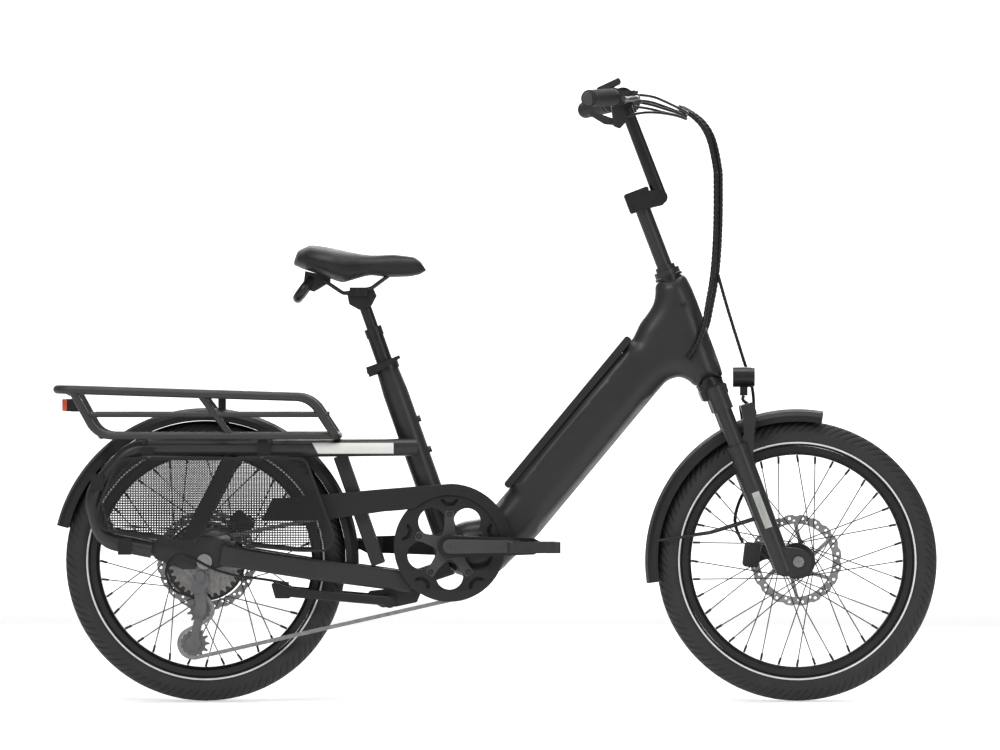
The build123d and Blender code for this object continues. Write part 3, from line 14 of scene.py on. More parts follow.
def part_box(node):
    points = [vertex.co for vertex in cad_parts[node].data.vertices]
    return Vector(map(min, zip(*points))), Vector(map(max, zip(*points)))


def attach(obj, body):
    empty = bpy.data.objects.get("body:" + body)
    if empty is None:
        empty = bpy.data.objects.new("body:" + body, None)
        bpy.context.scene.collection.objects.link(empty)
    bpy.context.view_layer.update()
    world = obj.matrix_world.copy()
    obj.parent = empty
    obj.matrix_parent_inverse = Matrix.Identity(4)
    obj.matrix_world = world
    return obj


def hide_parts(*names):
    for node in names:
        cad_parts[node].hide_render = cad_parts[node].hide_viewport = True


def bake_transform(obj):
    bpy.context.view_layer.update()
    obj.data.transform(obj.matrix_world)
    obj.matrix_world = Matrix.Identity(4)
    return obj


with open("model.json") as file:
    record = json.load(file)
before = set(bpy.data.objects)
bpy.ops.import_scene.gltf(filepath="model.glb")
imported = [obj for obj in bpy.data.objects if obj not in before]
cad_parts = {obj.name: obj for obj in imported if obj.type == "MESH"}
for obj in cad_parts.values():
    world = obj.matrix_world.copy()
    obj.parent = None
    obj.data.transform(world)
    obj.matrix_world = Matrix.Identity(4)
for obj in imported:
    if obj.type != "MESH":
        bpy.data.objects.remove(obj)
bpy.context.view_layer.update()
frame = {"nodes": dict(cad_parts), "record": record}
MM = 0.001


def middle(node):
    """The centre of a node's box."""
    low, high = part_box(node)
    return (low + high) / 2


# ======== the places that the pieces share, in millimetres ========
FRONT_AXLE = middle("front_tyre") / MM
REAR_AXLE = middle("rear_tyre") / MM
BOTTOM = middle("chainring") / MM
TYRE_R = (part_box("front_tyre")[1].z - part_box("front_tyre")[0].z) / MM / 2
TYRE_HALF_W = (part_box("front_tyre")[1].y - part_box("front_tyre")[0].y) / MM / 2
HEAD_ANGLE = math.radians(21)
RAKE = 33


def steer(ahead, up, y=0.0):
    """A point by its distance ahead of the steering axis and up along it."""
    a = ahead - RAKE
    c, s = math.cos(HEAD_ANGLE), math.sin(HEAD_ANGLE)
    return Vector((FRONT_AXLE.x + a * c - up * s, y, FRONT_AXLE.z + a * s + up * c))


def polar(centre, radius, degrees, y=0.0):
    """A point round a centre; the angle runs from forward to up."""
    a = math.radians(degrees)
    return Vector((centre.x + radius * math.cos(a), y, centre.z + radius * math.sin(a)))


# ======== finishes ========
METAL_SPECULAR = 0.5
DULL_SPECULAR = 0.3
COAT_ROUGH = 0.25
GLOSS_SPREAD = 0.05
GRAIN_DEPTH = 0.0004


def surface(name, colour, rough, metal=0.0, patch=30.0, spread=0.12, grain=900.0, bump=0.06, coat=0.0):
    """A finish with soft colour patches, uneven gloss and a fine grain. Scales are per metre."""
    material = bpy.data.materials.new(name)
    material.use_nodes = True
    nodes, links = material.node_tree.nodes, material.node_tree.links
    shader = nodes["Principled BSDF"]
    shader.inputs["Metallic"].default_value = metal
    shader.inputs["Specular IOR Level"].default_value = METAL_SPECULAR if metal else DULL_SPECULAR
    shader.inputs["Coat Weight"].default_value = coat
    shader.inputs["Coat Roughness"].default_value = COAT_ROUGH
    place = nodes.new("ShaderNodeTexCoord")

    def noise(scale, detail):
        node = nodes.new("ShaderNodeTexNoise")
        node.inputs["Scale"].default_value = scale
        node.inputs["Detail"].default_value = detail
        links.new(place.outputs["Object"], node.inputs["Vector"])
        return node

    def ramp(source, low, high):
        node = nodes.new("ShaderNodeMapRange")
        node.inputs["From Min"].default_value = 0.3
        node.inputs["From Max"].default_value = 0.7
        node.inputs["To Min"].default_value = low
        node.inputs["To Max"].default_value = high
        links.new(source.outputs["Fac"], node.inputs["Value"])
        return node

    patches = noise(patch, 4)
    mix = nodes.new("ShaderNodeMix")
    mix.data_type = "RGBA"
    dark = [c * (1 - spread) for c in colour]
    light = [c * (1 + spread) for c in colour]
    mix.inputs["A"].default_value = (*dark, 1)
    mix.inputs["B"].default_value = (*light, 1)
    links.new(ramp(patches, 0, 1).outputs["Result"], mix.inputs["Factor"])
    links.new(mix.outputs["Result"], shader.inputs["Base Color"])
    gloss = ramp(noise(patch * 4, 3), rough - GLOSS_SPREAD, rough + GLOSS_SPREAD)
    links.new(gloss.outputs["Result"], shader.inputs["Roughness"])
    relief = nodes.new("ShaderNodeBump")
    relief.inputs["Strength"].default_value = bump
    relief.inputs["Distance"].default_value = GRAIN_DEPTH
    links.new(noise(grain, 2).outputs["Fac"], relief.inputs["Height"])
    links.new(relief.outputs["Normal"], shader.inputs["Normal"])
    return material


FINISHES = {
    "frame_paint": surface("frame_paint", (0.018, 0.018, 0.0185), 0.42, patch=8, spread=0.06, bump=0.03,
                           coat=0.15),
    "rack_paint": surface("rack_paint", (0.030, 0.029, 0.028), 0.45, patch=10, spread=0.08, bump=0.04,
                          coat=0.1),
    "fender_plastic": surface("fender_plastic", (0.010, 0.010, 0.0105), 0.5, patch=12, bump=0.12),
    "guard_mesh": surface("guard_mesh", (0.012, 0.012, 0.0125), 0.5, patch=20),
    "strap_rubber": surface("strap_rubber", (0.007, 0.007, 0.007), 0.6, bump=0.1),
    "battery_case": surface("battery_case", (0.013, 0.013, 0.0135), 0.5, bump=0.12),
    "tail_lamp": surface("tail_lamp", (0.55, 0.07, 0.02), 0.2, patch=60, spread=0.2, bump=0.02, coat=0.6),
    "head_lamp": surface("head_lamp", (0.75, 0.77, 0.8), 0.12, patch=80, spread=0.05, bump=0.02, coat=0.6),
    "black_alloy": surface("black_alloy", (0.010, 0.010, 0.0105), 0.36, metal=0.3, bump=0.05),
    "bearing_steel": surface("bearing_steel", (0.3, 0.3, 0.31), 0.3, metal=1.0),
    "spoke_steel": surface("spoke_steel", (0.03, 0.03, 0.032), 0.35, metal=0.7),
    "rotor_steel": surface("rotor_steel", (0.30, 0.30, 0.31), 0.36, metal=0.9, grain=1500, bump=0.1),
    "drive_steel": surface("drive_steel", (0.26, 0.25, 0.24), 0.34, metal=0.9, patch=90, spread=0.2),
    "ring_plastic": surface("ring_plastic", (0.012, 0.012, 0.0125), 0.45, bump=0.08),
    "derailleur_alloy": surface("derailleur_alloy", (0.14, 0.14, 0.145), 0.4, metal=0.8, patch=60),
    "caliper_black": surface("caliper_black", (0.02, 0.02, 0.02), 0.4, metal=0.2),
    "tyre_rubber": surface("tyre_rubber", (0.022, 0.022, 0.022), 0.62, patch=25, spread=0.15, grain=700,
                           bump=0.2),
    "grip_rubber": surface("grip_rubber", (0.012, 0.012, 0.0125), 0.65, grain=1400, bump=0.3),
    "hose": surface("hose", (0.006, 0.006, 0.0065), 0.35, patch=60),
    "saddle_vinyl": surface("saddle_vinyl", (0.009, 0.009, 0.0095), 0.5, patch=25, grain=1100, bump=0.25),
    "pedal_alloy": surface("pedal_alloy", (0.025, 0.025, 0.026), 0.4, metal=0.3, patch=60),
}
SILVER = surface("bright_metal", (0.62, 0.62, 0.62), 0.28, metal=1.0, patch=80, spread=0.1)
PALE = surface("pale_badge", (0.62, 0.64, 0.60), 0.45, patch=30, spread=0.03, bump=0.03)
REFLECTIVE = surface("reflective_line", (0.68, 0.69, 0.70), 0.35, patch=120, spread=0.08, grain=2500,
                     bump=0.1)
RECESS = surface("recess_grey", (0.045, 0.045, 0.047), 0.5, patch=25)

for subpart in frame["record"]["subparts"]:
    data = frame["nodes"][subpart["node"]].data
    data.materials.clear()
    lamp = subpart["node"] in ("headlight", "tail_light")
    data.materials.append(FINISHES["black_alloy" if lamp else subpart["material_slot"]])


# ======== mesh helpers ========
def piece(name, build, body, slot=None, material=None, smooth=True, stands_for=()):
    """Makes a mesh piece from a bmesh that build() returns, in millimetres, and puts it on its body."""
    bm = build() if callable(build) else build
    bmesh.ops.scale(bm, vec=(MM, MM, MM), verts=bm.verts)
    bmesh.ops.recalc_face_normals(bm, faces=bm.faces)
    for face in bm.faces:
        face.smooth = smooth
    data = bpy.data.meshes.new(name)
    bm.to_mesh(data)
    bm.free()
    obj = bpy.data.objects.new(name, data)
    bpy.context.scene.collection.objects.link(obj)
    data.materials.append(material or FINISHES[slot])
    if body:
        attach(obj, body)
    if stands_for:
        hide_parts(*stands_for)
    return obj


def grid(bm, rows, close_rows=False, close_columns=False):
    """Quads between rows of points."""
    verts = [[bm.verts.new(p) for p in row] for row in rows]
    count, wide = len(verts), len(verts[0])
    for i in range(count if close_rows else count - 1):
        for j in range(wide if close_columns else wide - 1):
            a, b = verts[i], verts[(i + 1) % count]
            bm.faces.new((a[j], a[(j + 1) % wide], b[(j + 1) % wide], b[j]))
    return verts


# ======== camera, light and stage ========
VIEW_CENTRE = Vector((0.0072, 0.0, 0.6006))
CAMERA_LENS = 300
CAMERA_AWAY = 15.37
WORLD_GLOW = 0.3
FLOOR_GLOW = 0.30
BACKDROP_GLOW = 0.80
FLOOR_HALF = 16.0
FLOOR_Z = -0.0005
BACKDROP_Y = 7.0
BACKDROP_HALF = 5
BACKDROP_TOP = 6
camera_data = bpy.data.cameras.new("camera")
camera_data.lens = CAMERA_LENS
camera_data.sensor_width = 36
camera_data.clip_end = 60
camera = bpy.data.objects.new("camera", camera_data)
camera.location = VIEW_CENTRE + Vector((0, -CAMERA_AWAY, 0))
camera.rotation_euler = (math.radians(90), 0, 0)
bpy.context.scene.collection.objects.link(camera)
bpy.context.scene.camera = camera


def area_light(name, at, size, power):
    """A soft light that points at the middle of the bicycle."""
    data = bpy.data.lights.new(name, "AREA")
    data.shape = "RECTANGLE"
    data.size, data.size_y = size
    data.energy = power
    light = bpy.data.objects.new(name, data)
    light.location = at
    light.rotation_euler = (VIEW_CENTRE - Vector(at)).to_track_quat("-Z", "Y").to_euler()
    bpy.context.scene.collection.objects.link(light)


area_light("key", (-1.6, -3.6, 3.0), (2.2, 1.2), 75)
area_light("fill", (2.8, -3.4, 1.4), (1.4, 2.0), 30)
area_light("top", (0.2, -0.3, 3.4), (3.4, 1.4), 80)
area_light("back", (0.4, 3.6, 2.4), (3.0, 1.6), 60)
world = bpy.data.worlds.new("studio")
bpy.context.scene.world = world
world.use_nodes = True
world.node_tree.nodes["Background"].inputs["Color"].default_value = (1, 1, 1, 1)
world.node_tree.nodes["Background"].inputs["Strength"].default_value = WORLD_GLOW
bpy.context.scene.view_settings.view_transform = "Standard"


def stage_sheet(name, corners, glow):
    """A plain pale sheet behind or under the bicycle."""
    bm = bmesh.new()
    bm.faces.new([bm.verts.new(c) for c in corners])
    data = bpy.data.meshes.new(name)
    bm.to_mesh(data)
    bm.free()
    finish = surface(name, (0.86, 0.86, 0.86), 0.8, patch=1.5, spread=0.01, grain=60, bump=0.01)
    shader = finish.node_tree.nodes["Principled BSDF"]
    shader.inputs["Emission Color"].default_value = (1, 1, 1, 1)
    shader.inputs["Emission Strength"].default_value = glow
    data.materials.append(finish)
    sheet = bpy.data.objects.new(name, data)
    bpy.context.scene.collection.objects.link(sheet)


stage_sheet("floor", [(-FLOOR_HALF, -FLOOR_HALF, FLOOR_Z), (FLOOR_HALF, -FLOOR_HALF, FLOOR_Z),
                      (FLOOR_HALF, BACKDROP_Y, FLOOR_Z), (-FLOOR_HALF, BACKDROP_Y, FLOOR_Z)], FLOOR_GLOW)
stage_sheet("backdrop", [(-BACKDROP_HALF, BACKDROP_Y, FLOOR_Z), (BACKDROP_HALF, BACKDROP_Y, FLOOR_Z),
                         (BACKDROP_HALF, BACKDROP_Y, BACKDROP_TOP),
                         (-BACKDROP_HALF, BACKDROP_Y, BACKDROP_TOP)], BACKDROP_GLOW)

# ======== pieces ========
# -------- tyres --------
TREAD_COUNT = 103
SIPE_DEPTH = 1.3
CENTRE_GROOVE_DEPTH = 1.2
SIPE_STEPS = ((0.0, 0), (0.05, 1), (0.16, 1), (0.21, 0), (0.48, 0), (0.74, 0))
BEAD_R = 212.3
BEAD_HALF_W = 17.0
LINE_SECTION = ((219.4, 23.35), (218.6, 23.1), (217.4, 22.2), (216.4, 21.2))


def tyre_profile():
    """The tyre's section from bead to bead: (radius, y, angle from the crown)."""
    belly = TYRE_R - TYRE_HALF_W
    points = []
    for step in range(-31, 32):
        a = step * 4.0
        drop = TYRE_HALF_W if abs(a) <= 90 else TYRE_HALF_W * 0.75
        r = belly + drop * math.cos(math.radians(a))
        points.append((r, TYRE_HALF_W * math.sin(math.radians(a)), a))
    return [(BEAD_R, -BEAD_HALF_W, -180.0)] + points + [(BEAD_R, BEAD_HALF_W, 180.0)]


def tread_depth(a, groove):
    """How far the rubber is cut in at that angle from the crown."""
    side = abs(a)
    if 9 < side < 15:
        return CENTRE_GROOVE_DEPTH
    if 19 < side < 73 and groove:
        return SIPE_DEPTH
    return 0.0


def tyre(centre):
    """A treaded tyre round a wheel's centre."""
    bm = bmesh.new()
    rows = []
    for r, y, a in tyre_profile():
        slant = math.radians(min(max(abs(a) - 20, 0), 55)) * 0.095
        row = []
        for k in range(TREAD_COUNT):
            for part, groove in SIPE_STEPS:
                turn = 2 * math.pi * (k + part) / TREAD_COUNT + slant
                depth = tread_depth(a, groove)
                inward = math.radians(a)
                rr = r - depth * math.cos(inward)
                yy = y - depth * math.sin(inward)
                row.append(Vector((centre.x + rr * math.cos(turn), yy, centre.z + rr * math.sin(turn))))
        rows.append(row)
    grid(bm, rows, close_rows=True, close_columns=True)
    return bm


def reflective_lines(centre):
    """A thin bright line round each sidewall."""
    bm = bmesh.new()
    for side in (-1, 1):
        rows = []
        for r, y in LINE_SECTION:
            rows.append([polar(centre, r, k * 1.5, side * y) for k in range(240)])
        grid(bm, rows, close_columns=True)
    return bm


for wheel, centre in (("front", FRONT_AXLE), ("rear", REAR_AXLE)):
    piece(f"{wheel}_tyre_tread", tyre(centre), f"{wheel}_wheel", "tyre_rubber", stands_for=(f"{wheel}_tyre",))
    piece(f"{wheel}_tyre_line", reflective_lines(centre), f"{wheel}_wheel", "tyre_rubber", REFLECTIVE)


# -------- smooth main frame --------
def bb(dx, dz, y=0.0):
    """A point by its distance ahead of and above the bottom bracket."""
    return Vector((BOTTOM.x + dx, y, BOTTOM.z + dz))


def rounded(points, radius, steps=5):
    """The closed outline with each corner rounded, as far as its sides allow."""
    result = []
    count = len(points)
    for i, p in enumerate(points):
        before, after = points[i - 1] - p, points[(i + 1) % count] - p
        reach = min(radius, before.length * 0.48, after.length * 0.48)
        a, b = p + before.normalized() * reach, p + after.normalized() * reach
        for k in range(steps + 1):
            t = k / steps
            result.append(a * (1 - t) ** 2 + p * 2 * t * (1 - t) + b * t ** 2)
    return result


SEAM_START = bb(109.5, 104.2)
SEAM_END = steer(-104.2, 489.1)
TUBE_DIR = (SEAM_END - SEAM_START).normalized()
TUBE_OUT = Vector((-TUBE_DIR.z, 0, TUBE_DIR.x))
TUBE_HALF_W = 40.0
HEAD_HALF_W = 29.0
POCKET_HALF_W = 28.0
POCKET_DEPTH = 66.0
POCKET_INSET = 30.0
SKIN_CORNER_R = 14.0
SKIN_ROUND = 34.0
SKIN_STEP = 7.0
SKIN_INSETS = (0.7, 2.0, 4.5, 8.0)
SKIN_CLEAR = 11
END_ROUND = 12
END_SHARE = 0.84
TAPER_BEFORE = 190
TAPER_LENGTH = 130


def gap(p, a, b):
    """The distance from a point to a line between two points, in the side view."""
    ab, ap = b - a, p - a
    t = min(max(ap.dot(ab) / ab.length_squared, 0), 1) if ab.length_squared else 0
    return (ap - ab * t).length


def arch(share):
    """A quarter round: 0 at 0 and 1 from 1 on."""
    t = 1 - min(max(share, 0), 1)
    return math.sqrt(1 - t * t)


def inside(point, outline):
    """Whether a point (x, z) lies in a closed outline."""
    x, z = point
    result = False
    for (x0, z0), (x1, z1) in zip(outline, outline[1:] + outline[:1]):
        if (z0 > z) != (z1 > z) and x < (x1 - x0) * (z - z0) / (z1 - z0) + x0:
            result = not result
    return result


def main_frame_skin():
    """The frame's outline, with its sides rounded towards the edges."""
    outline = [
        SEAM_START, SEAM_END, steer(-80, 513), steer(-61, 524), steer(-45, 536), steer(-35, 551),
        steer(-28, 571), steer(28, 571), steer(32, 548), steer(33, 512), steer(31, 452),
        steer(29.8, 381), steer(28, 367), steer(-28, 367), steer(-34, 382),
        steer(-47, 394.5), steer(-70, 397), steer(-96.5, 383.5), bb(154.8, 10.1), bb(119, -21),
        bb(95, -46), bb(76, -56), bb(40, -62), bb(0, -48), bb(-30, 10), bb(20, 44), bb(65, 51),
    ]
    edge = rounded(outline, SKIN_CORNER_R)
    head_at = (steer(0, 450) - SEAM_START).dot(TUBE_DIR)
    flat_ends = [(outline[i], outline[i + 1]) for i in (0, 6, 12)]
    round_edges = list(zip(edge, edge[1:] + edge[:1]))
    round_edges = [e for e in round_edges if min(gap((e[0] + e[1]) / 2, *f) for f in flat_ends) > 1]

    def half_width(p):
        along = (p - SEAM_START).dot(TUBE_DIR)
        t = min(max((along - head_at + TAPER_BEFORE) / TAPER_LENGTH, 0), 1)
        t = t * t * (3 - 2 * t)
        half = TUBE_HALF_W + (HEAD_HALF_W - TUBE_HALF_W) * t
        rim = arch(min(gap(p, *e) for e in round_edges) / SKIN_ROUND)
        end = END_SHARE + (1 - END_SHARE) * arch(min(gap(p, *e) for e in flat_ends) / END_ROUND)
        return half * min(rim, end)

    spots = [Vector((p.x, 0, p.z)) for p in edge]
    boundary = len(spots)
    low, high = [Vector((f(p.x for p in edge), 0, f(p.z for p in edge))) for f in (min, max)]
    flat_outline = [(p.x, p.z) for p in edge]
    whole = list(zip(edge, edge[1:] + edge[:1]))
    for inset in SKIN_INSETS:
        for i, p in enumerate(edge):
            along = (edge[(i + 1) % boundary] - edge[i - 1]).normalized()
            q = p + Vector((along.z, 0, -along.x)) * inset
            if not inside((q.x, q.z), flat_outline):
                q = p - Vector((along.z, 0, -along.x)) * inset
            if min(gap(q, *e) for e in whole) > inset * 0.9:
                spots.append(q)
    for i in range(int((high.x - low.x) / SKIN_STEP)):
        for j in range(int((high.z - low.z) / SKIN_STEP)):
            q = low + Vector((i * SKIN_STEP, 0, j * SKIN_STEP))
            if inside((q.x, q.z), flat_outline) and min(gap(q, *e) for e in whole) > SKIN_CLEAR:
                spots.append(q)
    loop = [(i, (i + 1) % boundary) for i in range(boundary)]
    flat, _, faces, *_ = delaunay_2d_cdt([Vector((p.x, p.z)) for p in spots], loop, [], 1, 1e-4)
    bm = bmesh.new()
    sheets = []
    for side in (-1, 1):
        sheet = [bm.verts.new((p.x, side * half_width(Vector((p.x, 0, p.y))), p.y)) for p in flat]
        for face in faces:
            bm.faces.new([sheet[k] for k in face])
        sheets.append(sheet)
    for i, j in loop:
        bm.faces.new((sheets[0][i], sheets[0][j], sheets[1][j], sheets[1][i]))
    bmesh.ops.remove_doubles(bm, verts=bm.verts, dist=0.01)
    return bm


def apply_modifiers(obj):
    """Replaces the object's mesh by what its modifiers make of it."""
    bpy.context.view_layer.update()
    depsgraph = bpy.context.evaluated_depsgraph_get()
    data = bpy.data.meshes.new_from_object(obj.evaluated_get(depsgraph), depsgraph=depsgraph)
    obj.modifiers.clear()
    obj.data = data


def pocket_cutter():
    """The room for the battery in the down tube."""
    bm = bmesh.new()
    length = (SEAM_END - SEAM_START).length
    corners = []
    for along in (POCKET_INSET, length - POCKET_INSET):
        for up in (-POCKET_DEPTH, 25):
            for y in (-POCKET_HALF_W, POCKET_HALF_W):
                corners.append(SEAM_START + TUBE_DIR * along + TUBE_OUT * up + Vector((0, y, 0)))
    made = [bm.verts.new(c) for c in corners]
    bmesh.ops.convex_hull(bm, input=made)
    return bm


skin = piece("main_frame_skin", main_frame_skin(), None, "frame_paint", stands_for=("main_frame",))
cutter = piece("pocket", pocket_cutter(), None, "frame_paint", smooth=False)
cut = skin.modifiers.new("pocket", "BOOLEAN")
cut.operation = "DIFFERENCE"
cut.solver = "EXACT"
cut.object = cutter
apply_modifiers(skin)
bpy.data.objects.remove(cutter)
skin.data.set_sharp_from_angle(angle=math.radians(50))
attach(skin, "frame")


# -------- saddle --------
SADDLE_TOP = [(-372, 812), (-366, 830), (-342, 842), (-310, 838), (-279, 831), (-250, 825), (-228, 822.5),
              (-188, 824.5), (-150, 820), (-138, 811), (-129.5, 797)]
SADDLE_LOW = [(-372, 803), (-356, 796), (-335, 789), (-315, 782), (-284.5, 770), (-258, 778), (-233, 785),
              (-199.7, 780.5), (-159, 782), (-140, 786), (-129.5, 793)]
SADDLE_HALF = [(-372, 34), (-366, 62), (-350, 86), (-325, 99), (-300, 97), (-275, 80), (-250, 58), (-225, 43),
               (-200, 35), (-170, 30), (-148, 25), (-137, 18), (-129.5, 6)]


def along_line(points, x):
    """The value at x on the straight lines between points that are sorted by x."""
    for (x0, v0), (x1, v1) in zip(points, points[1:]):
        if x <= x1:
            t = min(max((x - x0) / (x1 - x0), 0), 1)
            return v0 + (v1 - v0) * t
    return points[-1][1]


def saddle_shell():
    """The saddle's cover, lofted along its length."""
    bm = bmesh.new()
    rows = []
    start, end, count, around = SADDLE_TOP[0][0], SADDLE_TOP[-1][0], 36, 28
    for i in range(count + 1):
        x = start + (end - start) * (0.5 - 0.5 * math.cos(math.pi * i / count))
        top, low, half = (along_line(line, x) for line in (SADDLE_TOP, SADDLE_LOW, SADDLE_HALF))
        row = []
        for k in range(around):
            a = 2 * math.pi * k / around
            s, c = math.sin(a), math.cos(a)
            y = half * math.copysign(abs(s) ** 0.8, s)
            share = math.copysign(abs(c) ** 0.62, c)
            z = (top + low) / 2 + (top - low) / 2 * share
            if c > 0:
                z -= (top - low) * 0.16 * (y / half) ** 2
                z -= 2.2 * math.exp(-(y / 9.0) ** 2)
            row.append(Vector((x, y, z)))
        rows.append(row)
    grid(bm, rows, close_columns=True)
    ends = [e for e in bm.edges if e.is_boundary]
    bmesh.ops.holes_fill(bm, edges=ends)
    return bm


saddle = piece("saddle_cover", saddle_shell(), None, "saddle_vinyl", stands_for=("saddle",))
smoother = saddle.modifiers.new("smooth", "SUBSURF")
smoother.levels = smoother.render_levels = 2
apply_modifiers(saddle)
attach(saddle, "upper_post")


# -------- perforated wheel guards --------
GUARD_OUTLINE = [
    (-146, 192), (180, 192), (190, 184), (242, 44), (226, 18), (173, 18), (78, 28), (54, 40),
    (34, 56), (14, 58), (-2, 48), (-18, 36), (-30, 33), (-186, 56), (-201, 76), (-198, 96),
    (-164, 180),
]
GUARD_PITCH = (4.8, 4.5)
GUARD_HOLE = ((-2.2, -1.55), (1.2, -1.55), (2.2, 1.55), (-1.2, 1.55))
GUARD_RIM_W = 5.0
GUARD_SHEET_Y = 95.3
GUARD_SHEET_T = 0.9
GUARD_ROWS = range(5, 42)
GUARD_COLUMNS = range(-43, 51)


def guard_sheet():
    """The perforated sheets on both sides."""
    bm = bmesh.new()
    wide, tall = GUARD_PITCH
    known = {}

    def corner(x, z, y):
        key = (round(x, 2), round(z, 2), round(y, 2))
        if key not in known:
            known[key] = bm.verts.new((REAR_AXLE.x + x, y, REAR_AXLE.z + z))
        return known[key]

    for side in (-1, 1):
        layers = [side * GUARD_SHEET_Y, side * (GUARD_SHEET_Y + GUARD_SHEET_T)]
        for row in GUARD_ROWS:
            for column in GUARD_COLUMNS:
                x, z = (column + 0.5) * wide, (row + 0.5) * tall
                corners = [(x - wide / 2, z - tall / 2), (x + wide / 2, z - tall / 2),
                           (x + wide / 2, z + tall / 2), (x - wide / 2, z + tall / 2)]
                if not all(inside(c, GUARD_OUTLINE) for c in corners):
                    continue
                holes = []
                for y in layers:
                    outer = [corner(*c, y) for c in corners]
                    hole = [bm.verts.new((REAR_AXLE.x + x + dx, y, REAR_AXLE.z + z + dz))
                            for dx, dz in GUARD_HOLE]
                    for k in range(4):
                        bm.faces.new((outer[k], outer[(k + 1) % 4], hole[(k + 1) % 4], hole[k]))
                    holes.append(hole)
                for k in range(4):
                    bm.faces.new((holes[0][k], holes[0][(k + 1) % 4], holes[1][(k + 1) % 4], holes[1][k]))
    return bm


def guard_rim():
    """The moulded rim round each perforated sheet."""
    bm = bmesh.new()
    line = rounded([Vector((REAR_AXLE.x + x, 0, REAR_AXLE.z + z)) for x, z in GUARD_OUTLINE], 12, 4)
    count = len(line)
    for side in (-1, 1):
        inner = []
        for i, p in enumerate(line):
            along = (line[(i + 1) % count] - line[i - 1]).normalized()
            inner.append(p + Vector((-along.z, 0, along.x)) * -GUARD_RIM_W)
        y0, y1 = side * (GUARD_SHEET_Y - 0.6), side * (GUARD_SHEET_Y + GUARD_SHEET_T + 0.6)
        rows = [[Vector((p.x, y, p.z)) for p in ring] for ring, y in
                ((line, y0), (line, y1), (inner, y1), (inner, y0))]
        grid(bm, rows, close_rows=True, close_columns=True)
    return bm


piece("wheel_guard_mesh", guard_sheet(), "frame", "guard_mesh", smooth=False, stands_for=("wheel_guards",))
piece("wheel_guard_rims", guard_rim(), "frame", "guard_mesh", smooth=False)


# -------- flat plates with holes --------
def circle(centre, radius, count=48, start=0.0):
    """The points of a circle in the side view."""
    return [polar(centre, radius, start + 360 * k / count) for k in range(count)]


def flat_piece(name, outlines, y0, y1, body, slot, material=None, bevel=0.6, stands_for=()):
    """A plate from closed outlines in the side view; the outlines inside the first are holes."""
    curve = bpy.data.curves.new(name, "CURVE")
    curve.dimensions = "2D"
    curve.fill_mode = "BOTH"
    curve.extrude = (abs(y1 - y0) / 2 - bevel) * MM
    curve.bevel_depth = bevel * MM
    curve.offset = -bevel * MM
    curve.bevel_resolution = 2
    for outline in outlines:
        spline = curve.splines.new("POLY")
        spline.points.add(len(outline) - 1)
        spline.use_cyclic_u = True
        for target, p in zip(spline.points, outline):
            target.co = (p.x * MM, p.z * MM, 0, 1)
    temporary = bpy.data.objects.new(name + "_curve", curve)
    bpy.context.scene.collection.objects.link(temporary)
    bpy.context.view_layer.update()
    depsgraph = bpy.context.evaluated_depsgraph_get()
    data = bpy.data.meshes.new_from_object(temporary.evaluated_get(depsgraph), depsgraph=depsgraph)
    bpy.data.objects.remove(temporary)
    data.transform(Matrix(((1, 0, 0, 0), (0, 0, -1, (y0 + y1) / 2 * MM), (0, 1, 0, 0), (0, 0, 0, 1))))
    data.materials.clear()
    data.materials.append(material or FINISHES[slot])
    bm = bmesh.new()
    bm.from_mesh(data)
    bmesh.ops.remove_doubles(bm, verts=bm.verts, dist=0.00001)
    bmesh.ops.recalc_face_normals(bm, faces=bm.faces)
    bm.to_mesh(data)
    bm.free()
    data.name = name
    obj = bpy.data.objects.new(name, data)
    bpy.context.scene.collection.objects.link(obj)
    for face in data.polygons:
        face.use_smooth = True
    data.set_sharp_from_angle(angle=math.radians(40))
    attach(obj, body)
    if stands_for:
        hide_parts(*stands_for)
    return obj


# -------- guard disc, chainring and crank face --------
GUARD_DISC_R = 102.3
GUARD_DISC_Y = -60.0
LOBES = 5
LOBE_R = 26.0
LOBE_AT = 55.0
BOLT_AT = 59.0


def boomerang(degrees):
    """The bent slot outside each chainring bolt."""
    shape = [(-17, 7), (-11, 8), (-5, 1.5), (5, 1.5), (11, 8), (17, 7),
             (11, -2), (6, -5), (-6, -5), (-11, -2)]
    out = polar(BOTTOM, 1, degrees) - BOTTOM
    out.y = 0
    across = Vector((-out.z, 0, out.x))
    base = Vector((BOTTOM.x, 0, BOTTOM.z)) + out * 79
    return rounded([base + across * a + out * u for a, u in shape], 3, 3)


disc_outlines = [circle(BOTTOM, GUARD_DISC_R, 120)]
for k in range(LOBES):
    lobe_centre = polar(BOTTOM, LOBE_AT, -90 + 72 * k)
    disc_outlines.append(circle(lobe_centre, LOBE_R, 48))
    disc_outlines.append(boomerang(90 + 72 * k))
flat_piece("guard_disc", disc_outlines, GUARD_DISC_Y - 1.5, GUARD_DISC_Y + 1.5, "crank", "ring_plastic",
           stands_for=("chainring",))
TEETH = 48
PITCH_R = 12.7 / (2 * math.sin(math.pi / TEETH))
tooth_ring = []
for k in range(TEETH):
    for turn, radius in ((0, -3.6), (0.25, -2.2), (0.42, 3.2), (0.58, 3.2), (0.75, -2.2)):
        tooth_ring.append(polar(BOTTOM, PITCH_R + radius, 360 * (k + turn) / TEETH))
ring_outlines = [tooth_ring]
for k in range(LOBES):
    ring_outlines.append(circle(polar(BOTTOM, LOBE_AT, -90 + 72 * k), LOBE_R - 1, 40))
flat_piece("toothed_ring", ring_outlines, -52.0, -50.0, "crank", "ring_plastic", bevel=0.3)
for k in range(LOBES):
    at = polar(BOTTOM, BOLT_AT, 90 + 72 * k)
    flat_piece(f"ring_bolt_{k + 1}", [circle(at, 5.2, 28), circle(at, 2.6, 6)], -64.2, -61.5, "crank",
               "ring_plastic", FINISHES["black_alloy"])
spider = []
